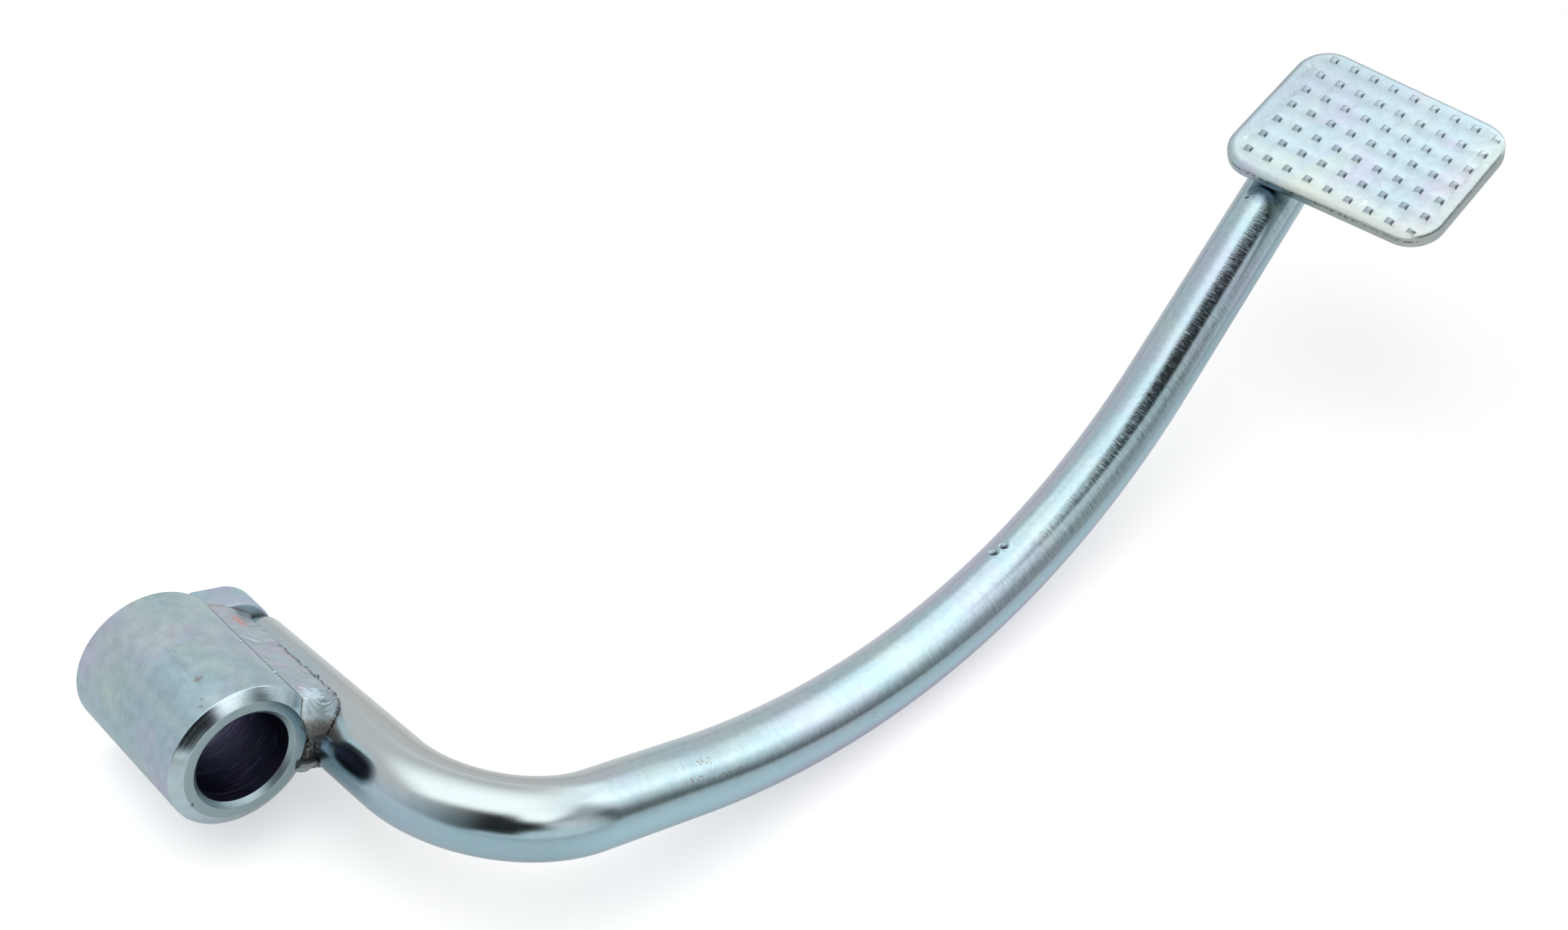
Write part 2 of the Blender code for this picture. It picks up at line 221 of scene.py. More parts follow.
def makeTable():
    axes = tableAxes()
    half = table["across"] / 2
    mesh = bpy.data.meshes.new("table")
    corners = [(-half, -half, 0), (half, -half, 0), (half, half, 0), (-half, half, 0)]
    mesh.from_pydata(corners, [], [(0, 1, 2, 3)])
    made = addObject("table", mesh)
    middle = Vector(studio["middle"])
    made.matrix_world = axesMatrix(middle - axes[2] * (middle.dot(axes[2]) - table["level"]), axes)
    mesh.materials.append(tableMaterial())


def makeScreen(name, points, faces, glows, covers=None):
    # a mesh that only the metal sees, as bright and as dense at each point as glows and covers say
    mesh = bpy.data.meshes.new(name)
    mesh.from_pydata(points, [], faces)
    material = newMaterial(name + "Light")
    tree = material.node_tree

    def pointValues(label, values):
        mesh.attributes.new(label, "FLOAT", "POINT").data.foreach_set("value", values)
        return addNode(tree, "Attribute", attribute_name=label).outputs["Fac"]

    light = addNode(tree, "Emission", {"Strength": pointValues("glow", glows)}).outputs[0]
    if covers:
        clear = addNode(tree, "BsdfTransparent").outputs[0]
        shares = {0: pointValues("cover", covers), 1: clear, 2: light}
        light = addNode(tree, "MixShader", shares).outputs[0]
    addNode(tree, "OutputMaterial", {"Surface": light})
    mesh.materials.append(material)
    made = addObject(name, mesh)
    made.visible_camera = False
    made.visible_diffuse = False
    made.visible_transmission = False
    made.visible_shadow = False


room = dict(
    away=2.2,    # in metres
    columns=120,
    rows=46,
    lowest=-2.0,    # in degrees
    sideGlow=0.88,
    frontGlow=1.05,
    ceilingGlow=0.05,
    darkGlow=0.03,
    stripGlow=0.2,
    rightGlow=0.66,
    besideGlow=0.68,
    farGlow=2.1,
    cornerGlow=1.25,
)


def roomGlow(azimuth, height):
    # how bright the room looks to the metal in one direction, both angles in degrees
    glow = lerp(room["sideGlow"], room["frontGlow"], ramps(azimuth, (-150.0, -125.0), (20.0, -5.0)))
    ceiling = ramps(azimuth, (-60.0, -40.0), (112.0, 96.0))
    edge = lerp(49.5, 65.0, smoothStep(14.0, 38.0, azimuth)) + 7.0 * smoothStep(38.0, 62.0, azimuth)
    glow = lerp(glow, room["ceilingGlow"], ceiling * smoothStep(edge - 4.5, edge + 4.5, height))
    # the unlit wall behind the camera, which narrows to a point to the right
    dark = ramps(azimuth, (-160.0, -112.0), (-46.0, -63.0))
    dark *= lerp(0.75, 1.0, smoothStep(-118.0, -96.0, azimuth))
    foot = lerp(-6.0, 2.0, smoothStep(-112.0, -96.0, azimuth)) + 13.0 * smoothStep(-82.0, -66.0, azimuth)
    dark *= ramps(height, (foot, foot + 10.0), (90.0, 75.0))
    reach = 14.0 * smoothStep(-4.0, -42.0, azimuth) + 0.01
    centre = lerp(40.0, 47.0, smoothStep(-20.0, -46.0, azimuth))
    point = smoothStep(-110.0, -80.0, azimuth) * lerp(0.5, 0.9, smoothStep(-28.0, -52.0, azimuth))
    point *= smoothStep(reach, 0.3 * reach, abs(height - centre))
    glow = lerp(glow, room["darkGlow"], max(dark, point))
    # a dim strip to the right, brighter higher up
    right = ramps(azimuth, (-38.0, -14.0), (5.0, -3.0)) * smoothStep(53.0, 46.0, height)
    strip = lerp(room["stripGlow"], room["rightGlow"], smoothStep(24.0, 40.0, height))
    strip = lerp(strip, room["besideGlow"], smoothStep(-11.0, -18.0, azimuth))
    glow = lerp(glow, strip, right)
    # the bright far side under the ceiling's edge
    corner = smoothStep(102.0, 120.0, azimuth)
    aside = smoothStep(15.0, 45.0, azimuth)
    low = lerp(lerp(11.0, 19.0, aside), 24.0, corner)
    high = lerp(lerp(30.0, 44.0, aside), 54.0, corner)
    far = smoothStep(0.0, 23.0, azimuth) * ramps(height, (low, high), (edge + 2.0, edge - 6.0))
    peak = lerp(room["farGlow"], room["cornerGlow"], corner)
    peak = lerp(peak, room["sideGlow"], smoothStep(142.0, 170.0, azimuth))
    return lerp(glow, peak, far)


def makeRoom():
    middle = Vector(studio["middle"])
    points = []
    glows = []
    for j in range(room["rows"] + 1):
        height = lerp(room["lowest"], 90.0, j / room["rows"])
        for i in range(room["columns"]):
            azimuth = -180.0 + 360.0 * i / room["columns"]
            points.append(middle + studioDirection(azimuth, height) * room["away"])
            glows.append(roomGlow(azimuth, height))
    makeScreen("room", points, ringFaces(room["columns"], room["rows"] + 1), glows)


overhead = dict(
    level=0.150,    # above the table, in metres
    low=(-0.26, -0.16),
    high=(0.18, 0.27),
    steps=72,
)


def overheadGlow(x, y):
    # brightness and cover of the near screen, x and y on the table in millimetres
    hub = lerp(1.95, 0.9, smoothStep(0.0, 150.0, y))
    tail = lerp(2.0, 1.6, smoothStep(-75.0, 5.0, y)) + 0.15 * smoothStep(60.0, 150.0, y)
    tail = lerp(tail, 1.45, smoothStep(170.0, 200.0, y) * smoothStep(135.0, 100.0, x))
    nearEdge = lerp(-76.0, -118.0, smoothStep(62.0, 92.0, x))
    cover = ramps(x, (167.0, 133.0), (-185.0, -50.0))
    cover *= ramps(y, (nearEdge - 26.0, nearEdge + 26.0), (252.0, 200.0))
    return lerp(hub, tail, smoothStep(60.0, 125.0, x)), cover


def makeOverhead():
    # its right edge ends the bright band along the tail
    right, away, up = tableAxes()
    steps = overhead["steps"]
    points = []
    shades = []
    for j in range(steps + 1):
        for i in range(steps + 1):
            x = lerp(overhead["low"][0], overhead["high"][0], i / steps)
            y = lerp(overhead["low"][1], overhead["high"][1], j / steps)
            points.append(right * x + away * y + up * (table["level"] + overhead["level"]))
            shades.append(overheadGlow(x / mm, y / mm))
    row = steps + 1
    faces = [(k, k + 1, k + row + 1, k + row) for j in range(steps) for k in range(j * row, j * row + steps)]
    glows, covers = zip(*shades)
    makeScreen("overhead", points, faces, glows, covers)


def makeLight():
    right, away, up = tableAxes()
    light = bpy.data.lights.new("softbox", "AREA")
    light.shape = "RECTANGLE"
    light.size, light.size_y = studio["softboxSides"]
    light.energy = studio["softboxPower"]
    made = addObject("softbox", light)
    x, y, z = studio["softboxMiddle"]
    made.matrix_world = axesMatrix(right * x + away * y + up * (table["level"] + z), (right, away, up))
    made.visible_camera = False
    made.visible_glossy = False
    world = bpy.data.worlds.new("studio")
    bpy.context.scene.world = world
    world.use_nodes = True
    tree = world.node_tree
    tree.nodes.clear()
    path = addNode(tree, "LightPath").outputs
    seen = mathNode(tree, "MAXIMUM", path["Is Camera Ray"], path["Is Glossy Ray"])
    seen = mathNode(tree, "MAXIMUM", seen, path["Is Transmission Ray"])
    strength = rangeNode(tree, seen, 0.0, 1.0, studio["skyFill"], 1.0, False)
    sky = addNode(tree, "Background", {"Color": (1.0, 1.0, 1.0, 1.0), "Strength": strength})
    addNode(tree, "OutputWorld", {"Surface": sky.outputs[0]})


bpy.context.scene.view_settings.view_transform = "Standard"
makeCamera()
makeTable()
makeRoom()
makeOverhead()
makeLight()
print("stage ready")


# shared surface effects

origin = (0.0, 0.0, 0.0)
plain = (1.0, 1.0, 1.0, 1.0)


def newGroup(name, inputs, outputs):
    # a group's tree and its inputs; a socket's kind follows from its value
    tree = bpy.data.node_groups.new(name, "ShaderNodeTree")
    for way, values in (("INPUT", inputs), ("OUTPUT", outputs)):
        for label, value in values.items():
            kind = "Float" if isinstance(value, float) else "Vector" if len(value) == 3 else "Color"
            title = label.replace("_", " ")
            socket = tree.interface.new_socket(name=title, in_out=way, socket_type="NodeSocket" + kind)
            socket.default_value = value
    return tree, tree.nodes.new("NodeGroupInput").outputs


def makeTintGroup():
    # the drifting colours of a passivated zinc skin
    inputs = dict(
        Place=origin, Base=(0.36, 0.49, 0.54, 1.0), Lilac=(0.44, 0.43, 0.56, 1.0),
        Straw=(0.46, 0.54, 0.47, 1.0), Patch_Scale=0.12, Lilac_Share=0.5, Straw_Share=0.3, Mottle_Scale=0.9,
        Mottle=0.12,
    )
    tree, given = newGroup("zincTint", inputs, dict(Color=plain, Cloud=0.0))
    place = given["Place"]
    first = noiseNode(tree, place, given["Patch Scale"], 2.5, 0.5, 0.4)
    shifted = vectorNode(tree, "ADD", place, (41.0, 17.0, 5.0))
    second = noiseNode(tree, shifted, given["Patch Scale"], 2.5, 0.5, 0.6)
    lilac = mathNode(tree, "MULTIPLY", rangeNode(tree, first, 0.46, 0.66), given["Lilac Share"])
    straw = mathNode(tree, "MULTIPLY", rangeNode(tree, second, 0.48, 0.68), given["Straw Share"])
    colour = mixNode(tree, lilac, given["Base"], given["Lilac"])
    colour = mixNode(tree, straw, colour, given["Straw"])
    shifted = vectorNode(tree, "ADD", place, (3.0, 71.0, 9.0))
    mottle = noiseNode(tree, shifted, given["Mottle Scale"], 5.0, 0.6)
    centred = rangeNode(tree, mottle, 0.3, 0.7, -1.0, 1.0, False)
    gain = mathNode(tree, "MULTIPLY_ADD", centred, given["Mottle"], 1.0)
    colour = vectorNode(tree, "SCALE", colour, scale=gain)
    feed(tree, tree.nodes.new("NodeGroupOutput"), dict(Color=colour, Cloud=mottle))
    return tree


def makeMarkGroup():
    # fine marks drawn out along one direction, from brushing, turning or rolling
    inputs = dict(Place=origin, Fineness=(1.0, 1.0, 1.0), Contrast=0.16, Detail=4.0)
    tree, given = newGroup("drawnMarks", inputs, dict(Height=0.0, Scuff=0.0))
    stretched = vectorNode(tree, "MULTIPLY", given["Place"], given["Fineness"])
    fine = noiseNode(tree, stretched, 1.0, given["Detail"], 0.62)
    low = mathNode(tree, "SUBTRACT", 0.5, given["Contrast"])
    high = mathNode(tree, "ADD", 0.5, given["Contrast"])
    height = rangeNode(tree, fine, low, high, 0.0, 1.0, False)
    coarse = noiseNode(tree, vectorNode(tree, "ADD", stretched, (9.0, 2.0, 31.0)), 0.31, 2.0, 0.5)
    scuff = rangeNode(tree, coarse, 0.52, 0.7)
    feed(tree, tree.nodes.new("NodeGroupOutput"), dict(Height=height, Scuff=scuff))
    return tree


def makeSpeckGroup():
    # sparse small specks of dirt and stained pits
    tree, given = newGroup("specks", dict(Place=origin, Scale=1.0, Size=0.12, Spread=0.55), dict(Mask=0.0))
    inputs = dict(Vector=given["Place"], Scale=given["Scale"])
    cells = addNode(tree, "TexVoronoi", inputs, feature="F1").outputs["Distance"]
    dot = rangeNode(tree, cells, 0.0, given["Size"], 1.0, 0.0)
    field = noiseNode(tree, vectorNode(tree, "ADD", given["Place"], (5.0, 23.0, 61.0)), 0.35, 2.0)
    where = rangeNode(tree, field, given["Spread"], mathNode(tree, "ADD", given["Spread"], 0.07))
    feed(tree, tree.nodes.new("NodeGroupOutput"), dict(Mask=mathNode(tree, "MULTIPLY", dot, where)))
    return tree


def makeSpotGroup():
    # one ragged spot round a stated place, in millimetres
    inputs = dict(Place=origin, Centre=origin, Reach=(1.0, 1.0, 1.0), Ragged=0.4, Grain=1.5, Softness=0.6)
    tree, given = newGroup("spot", inputs, dict(Mask=0.0))
    offset = vectorNode(tree, "SUBTRACT", given["Place"], given["Centre"])
    length = vectorNode(tree, "LENGTH", vectorNode(tree, "DIVIDE", offset, given["Reach"]))
    rough = noiseNode(tree, given["Place"], given["Grain"], 3.0, 0.6)
    rough = rangeNode(tree, rough, 0.3, 0.7, -1.0, 1.0, False)
    distance = mathNode(tree, "MULTIPLY_ADD", rough, given["Ragged"], length)
    inner = mathNode(tree, "SUBTRACT", 1.0, given["Softness"])
    feed(tree, tree.nodes.new("NodeGroupOutput"), dict(Mask=rangeNode(tree, distance, inner, 1.0, 1.0, 0.0)))
    return tree


groups = dict(
    tint=makeTintGroup(),
    marks=makeMarkGroup(),
    specks=makeSpeckGroup(),
    spot=makeSpotGroup(),
)
rust = (0.20, 0.075, 0.035)
dirt = (0.055, 0.045, 0.040)


class Finish:
    # a zinc finish that is put together step by step; its colours are red, green and blue
    def __init__(self, name, roughness, patches, mottle, **colours):
        # patches: their scale and the shares of lilac and straw; mottle: its scale and strength
        self.material = newMaterial(name)
        self.tree = self.material.node_tree
        self.shader = addNode(self.tree, "BsdfPrincipled", {"Metallic": 1.0})
        addNode(self.tree, "OutputMaterial", {"Surface": self.shader.outputs[0]})
        self.place = self.attribute("localMm")
        self.roughness = roughness
        self.normal = None
        tint = {label: (*colour, 1.0) for label, colour in colours.items()}
        labels = ("Patch_Scale", "Lilac_Share", "Straw_Share", "Mottle_Scale", "Mottle")
        tinted = self.group("tint", **tint, **dict(zip(labels, patches + mottle)))
        self.colour = tinted["Color"]
        self.cloud = tinted["Cloud"]

    def attribute(self, name):
        return addNode(self.tree, "Attribute", attribute_name=name).outputs["Vector"]

    def group(self, key, place=None, **values):
        inputs = {label.replace("_", " "): value for label, value in values.items()}
        inputs["Place"] = place or self.place
        return addNode(self.tree, "Group", inputs, node_tree=groups[key]).outputs

    def marks(self, fineness, contrast, **values):
        return self.group("marks", Fineness=fineness, Contrast=contrast, **values)

    def axes(self, vector):
        return addNode(self.tree, "SeparateXYZ", {0: vector}).outputs

    def ramp(self, value, low, high, toLow=0.0, toHigh=1.0):
        return rangeNode(self.tree, value, low, high, toLow, toHigh)

    def times(self, a, b):
        return mathNode(self.tree, "MULTIPLY", a, b)

    def paint(self, mask, colour, share):
        self.colour = mixNode(self.tree, self.times(mask, share), self.colour, (*colour, 1.0))

    def spot(self, centre, reach, colour, share, **looks):
        mask = self.group("spot", Centre=centre, Reach=reach, **looks)["Mask"]
        self.paint(mask, colour, share)
        return mask

    def speckle(self, share, scale, size, spread):
        self.paint(self.group("specks", Scale=scale, Size=size, Spread=spread)["Mask"], dirt, share)

    def roughen(self, mask, amount):
        self.roughness = mathNode(self.tree, "MULTIPLY_ADD", mask, amount, self.roughness)

    def bump(self, height, distance):
        inputs = {"Strength": 1.0, "Distance": distance * mm, "Height": height, "Normal": self.normal}
        self.normal = addNode(self.tree, "Bump", inputs).outputs["Normal"]

    def finish(self):
        ends = {"Base Color": self.colour, "Roughness": self.roughness, "Normal": self.normal}
        feed(self.tree, self.shader, ends)
        return self.material


# mesh helpers

def addPlaces(mesh, name, places):
    data = mesh.attributes.new(name, "FLOAT_VECTOR", "POINT").data
    data.foreach_set("vector", [value for place in places for value in place])


def meshPiece(name, points, faces, material, local=None, crease=None, weldMarks=None):
    # points are in millimetres; local holds their places on the piece itself, for the finish to follow
    mesh = bpy.data.meshes.new(name)
    mesh.from_pydata([Vector(p) * mm for p in points], [], faces)
    addPlaces(mesh, "localMm", local or points)
    if weldMarks:
        addPlaces(mesh, "weldMarks", weldMarks)
    bm = bmesh.new()
    bm.from_mesh(mesh)
    bmesh.ops.recalc_face_normals(bm, faces=bm.faces)
    bm.to_mesh(mesh)
    bm.free()
    mesh.shade_smooth()
    if crease:
        mesh.set_sharp_from_angle(angle=math.radians(crease))
    mesh.materials.append(material)
    return addObject(name, mesh)


def arcPoints(centre, radius, start, end, steps):
    turn = (end - start) / steps
    return [
        (centre[0] + radius * math.cos(start + turn * i), centre[1] + radius * math.sin(start + turn * i))
        for i in range(steps + 1)
    ]


def roundedOutline(corners, radii, steps):
    # a closed outline with an arc at each corner, and the outward direction at each of its points
    points = []
    count = len(corners)
    for i in range(count):
        corner = Vector(corners[i])
        before = (Vector(corners[i - 1]) - corner).normalized()
        after = (Vector(corners[(i + 1) % count]) - corner).normalized()
        half = before.angle(after) / 2
        middle = (before + after).normalized()
        hollow = before.x * after.y - before.y * after.x > 0
        centre = corner + middle * (radii[i] / math.sin(half))
        first = corner + before * (radii[i] / math.tan(half)) - centre
        start = math.atan2(first.y, first.x)
        sweep = (math.pi - 2.0 * half) * (-1.0 if hollow else 1.0)
        for place in arcPoints(centre, radii[i], start, start + sweep, steps):
            points.append(Vector(place))
    return points


def outlineNormals(points):
    normals = []
    count = len(points)
    for i in range(count):
        along = points[(i + 1) % count] - points[i - 1]
        normals.append(Vector((along.y, -along.x)).normalized())
    return normals


def drawnIn(outline, inset):
    return [place - normal * inset for place, normal in zip(outline, outlineNormals(outline))]


# pivot bush

bush = dict(
    bore=7.7,
    radius=12.05,
    length=29.8,
    chamferDepth=1.3,
    chamferWidth=1.95,
    boreChamfer=0.8,
    rearEdge=0.4,
    softEdge=0.16,
    steps=240,
    nick=(-7.36, 0.0, -6.53),
    rustSpots=[((-6.2, 7.6, 10.3), 0.8), ((-7.5, 3.7, 9.45), 0.34), ((-8.2, 2.7, 8.9), 0.5)],
    smudge=(-6.3, 12.7, 10.3),
    rimReflection=(-9.5, 0.9, -7.5),
)


def bushFinish():
    made = Finish("bushZinc", 0.36, (0.09, 0.6, 0.4), (0.55, 0.12), Base=(0.33, 0.45, 0.50))
    # painted reflection: a lilac patch on the lower front rim
    made.spot(bush["rimReflection"], (3.6, 1.9, 5.0), (0.52, 0.38, 0.58), 0.6, Ragged=0.3, Grain=0.5, Softness=0.9)
    made.paint(made.marks((1.1, 0.05, 1.1), 0.2)["Scuff"], (0.46, 0.57, 0.60), 0.3)
    made.speckle(0.6, 1.6, 0.13, 0.56)
    for centre, reach in bush["rustSpots"]:
        made.spot(centre, (reach,) * 3, rust, 0.5, Ragged=0.6, Grain=2.8, Softness=0.8)
    made.spot(bush["nick"], (0.5, 0.6, 0.4), dirt, 0.8, Ragged=0.5, Grain=3.0)
    made.spot(bush["smudge"], (1.3, 5.0, 1.3), (0.22, 0.28, 0.33), 0.4, Ragged=0.5, Grain=2.4, Softness=0.95)
    made.roughen(made.cloud, 0.10)
    made.bump(made.marks((9.0, 5.0, 9.0), 0.22)["Height"], 0.006)
    made.bump(made.cloud, 0.05)
    return made.finish()


def boreFinish():
    # the machined faces: rings round the axis
    made = Finish("turnedZinc", 0.13, (0.16, 0.35, 0.3), (0.8, 0.08), Base=(0.42, 0.54, 0.58))
    x, y, z = made.axes(made.place)
    flat = addNode(made.tree, "CombineXYZ", dict(X=x, Y=z)).outputs[0]
    radius = vectorNode(made.tree, "LENGTH", flat)
    turned = addNode(made.tree, "CombineXYZ", dict(X=radius, Y=y)).outputs[0]
    rings = made.marks((7.0, 3.2, 1.0), 0.2, place=turned)
    # the flat face is darker than the chamfer, and the mouth of the bore duller
    made.paint(made.ramp(radius, 10.15, 10.0), (0.27, 0.355, 0.375), 0.9)
    made.speckle(0.7, 1.3, 0.12, 0.56)
    made.spot(bush["nick"], (0.42, 0.6, 0.36), dirt, 0.8, Ragged=0.5, Grain=3.0)
    made.roughen(rings["Scuff"], 0.10)
    made.roughen(made.ramp(radius, 8.6, 8.45), 0.24)
    made.bump(rings["Height"], 0.006)
    return made.finish()


def boreShadeSkin():
    # the thin dull plating down inside the bore, its colour painted near-black for the shade down in the bore
    made = Finish(
        "boreZincShaded", 0.32, (0.2, 0.7, 0.3), (0.9, 0.15), Base=(0.075, 0.085, 0.140),
        Lilac=(0.095, 0.075, 0.150), Straw=(0.075, 0.085, 0.105),
    )
    scores = made.marks((0.35, 4.5, 0.35), 0.16)
    made.paint(scores["Scuff"], (0.24, 0.25, 0.34), 0.6)
    made.roughen(scores["Scuff"], 0.10)
    made.bump(scores["Height"], 0.012)
    return made.finish()


def makeBush():
    b = bush
    mouth = b["bore"] + b["boreChamfer"]
    e = b["softEdge"]
    corners = [
        (mouth, b["length"]), (b["radius"] - b["rearEdge"], b["length"]),
        (b["radius"], b["length"] - b["rearEdge"]), (b["radius"], b["chamferDepth"]),
        (b["radius"] - b["chamferWidth"], 0.0), (mouth, 0.0), (b["bore"], b["boreChamfer"]),
        (b["bore"], b["length"] - b["boreChamfer"]),
    ]
    radii = [e, e, e, e * 1.6, e * 1.2, e, e, e]
    profile = roundedOutline(corners[::-1], radii[::-1], 4)
    points = []
    steps = b["steps"]
    for place in profile:
        for i in range(steps):
            turn = 2.0 * math.pi * i / steps
            points.append((place.x * math.cos(turn), place.y, place.x * math.sin(turn)))
    faces = ringFaces(steps, len(profile), True)
    made = meshPiece("bushTube", points, faces, bushFinish(), crease=40.0)
    # the chamfer, the front face and the bore have finishes of their own
    made.data.materials.append(boreFinish())
    made.data.materials.append(boreShadeSkin())
    for face in made.data.polygons:
        centre = face.center / mm
        radius = math.hypot(centre.x, centre.z)
        if radius < b["radius"] - 0.03 and centre.y < b["length"] - 0.5:
            face.material_index = 1
        if radius < b["bore"] + 0.05 and centre.y > b["boreChamfer"] - 0.05:
            face.material_index = 2
    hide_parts("pivot_bush")
    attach(made, "root")


makeBush()
print("bush ready")


# bent arm

arm = dict(
    radius=6.5,
    endEdge=0.6,
    gap=0.3,
    rootCentreY=14.0,
    rootRise=3.35,
    rootReach=25.4,
    tightRadius=20.85,
    tightAngle=93.6,
    tightLift=3.8,
    neck=21.4,
    sweepRadius=194.8,
    sweepAngle=42.1,
    sweepRoll=77.4,
    tail=77.4,
    skin=0.07,    # how far the bar stays inside its solid, so that the dents' rims do too
    steps=144,
    finerParts=8,    # how many parts a stretch beside a dent is cut into
    finerReach=2.5,    # such a stretch is no further from the dent than this and the bar's radius
    dents=[    # centre, reach and depth
        ((138.7, -18.97, 33.19), 1.15, 0.30),
        ((140.83, -19.12, 34.44), 1.1, 0.28),
        ((214.0, 3.94, 96.46), 0.55, 0.30),
    ],
    flecks=[
        ((60.3, -34.0, 11.0), (3.6, 1.0, 1.0)), ((57.1, -36.0, 9.3), (3.0, 0.6, 0.6)),
        ((65.2, -35.9, 9.1), (5.6, 0.8, 0.8)), ((100.5, -33.4, 12.6), (0.8, 1.6, 1.6)),
    ],
    scratches=[((77.4, -32.3, 12.9), (15.0, 3.6, 3.6)), ((55.7, -34.0, 10.9), (9.0, 2.6, 2.6))],
    shade=(216.4, 0.6, 98.5),
    lying=48.0,    # how far the bar's upper edge as it lies is turned from its own side
    paintedLightTints=[    # painted light and reflection tints by side of the lying bar: from -1 at its top edge to 1 at the bottom, then along it, colour, share
        ((0.55, 0.2), [(16.0, 30.0), (84.0, 62.0)], (0.46, 0.505, 0.505), 0.8),
        ((-0.3, -0.8), [(120.0, 40.0)], (0.48, 0.475, 0.46), 0.5),
        ((0.4, 0.75), [], (0.30, 0.475, 0.56), 0.55),
        ((0.4, 0.75), [(64.0, 76.0)], (0.44, 0.68, 0.78), 0.5),
        ((0.72, 0.95), [(95.0, 125.0), (270.0, 200.0)], (0.46, 0.36, 0.56), 0.55),
        ((-0.8, -0.97), [(95.0, 125.0), (270.0, 200.0)], (0.50, 0.43, 0.56), 0.4),
    ],
)


def rootDirection():
    rise = math.radians(arm["rootRise"])
    return Vector((0.0, -math.cos(rise), math.sin(rise)))


def rootPoint(y):
    middle = Vector((bush["radius"] + arm["gap"] + arm["radius"], arm["rootCentreY"], 0.0))
    direction = rootDirection()
    return middle + direction * ((y - arm["rootCentreY"]) / direction.y)


def barLine():
    # the bar's centre line as (place, direction) pairs, in millimetres
    rise = math.radians(arm["rootRise"])
    start = rootPoint(bush["length"] - arm["radius"] * math.sin(rise))
    direction = rootDirection()
    line = []

    def straight(length, steps):
        nonlocal start
        for i in range(steps):
            line.append((start + direction * (length * i / steps), direction.copy()))
        start = start + direction * length

    def bend(radius, angle, inward, steps):
        nonlocal start, direction
        turn = math.radians(angle)
        for i in range(steps):
            part = turn * i / steps
            place = start + (direction * math.sin(part) + inward * (1.0 - math.cos(part))) * radius
            line.append((place, direction * math.cos(part) + inward * math.sin(part)))
        start = start + (direction * math.sin(turn) + inward * (1.0 - math.cos(turn))) * radius
        after = inward * math.cos(turn) - direction * math.sin(turn)
        direction = direction * math.cos(turn) + inward * math.sin(turn)
        return after

    front = rootPoint(arm["rootCentreY"]) + direction * arm["rootReach"]
    straight((front - start).length, 22)
    lift = math.radians(arm["tightLift"])
    lifted = Vector((math.cos(lift), 0.0, math.sin(lift)))
    inward = (lifted - direction * lifted.dot(direction)).normalized()
    inward = bend(arm["tightRadius"], arm["tightAngle"], inward, 60)
    straight(arm["neck"], 12)
    inward = Matrix.Rotation(math.radians(arm["sweepRoll"]), 3, direction) @ inward
    bend(arm["sweepRadius"], arm["sweepAngle"], inward, 120)
    straight(arm["tail"], 60)
    line.append((start.copy(), direction.copy()))
    return line


def barPlace(line, place):
    # where a place on the bar lies in the bar's own coordinates: along, and round its axis
    along = 0.0
    best = None
    side = Vector((0.0, 0.0, 1.0))
    for k, (middle, direction) in enumerate(line):
        if k:
            along += (middle - line[k - 1][0]).length
        side = (side - direction * side.dot(direction)).normalized()
        off = Vector(place) - middle
        ahead = off.dot(direction)
        if best is None or abs(ahead) < best[0] and off.length < 12.0:
            other = direction.cross(side)
            turn = math.atan2(off.dot(other), off.dot(side))
            around = (arm["radius"] * math.cos(turn), arm["radius"] * math.sin(turn))
            best = (abs(ahead), (along + ahead, *around))
    return best[1]


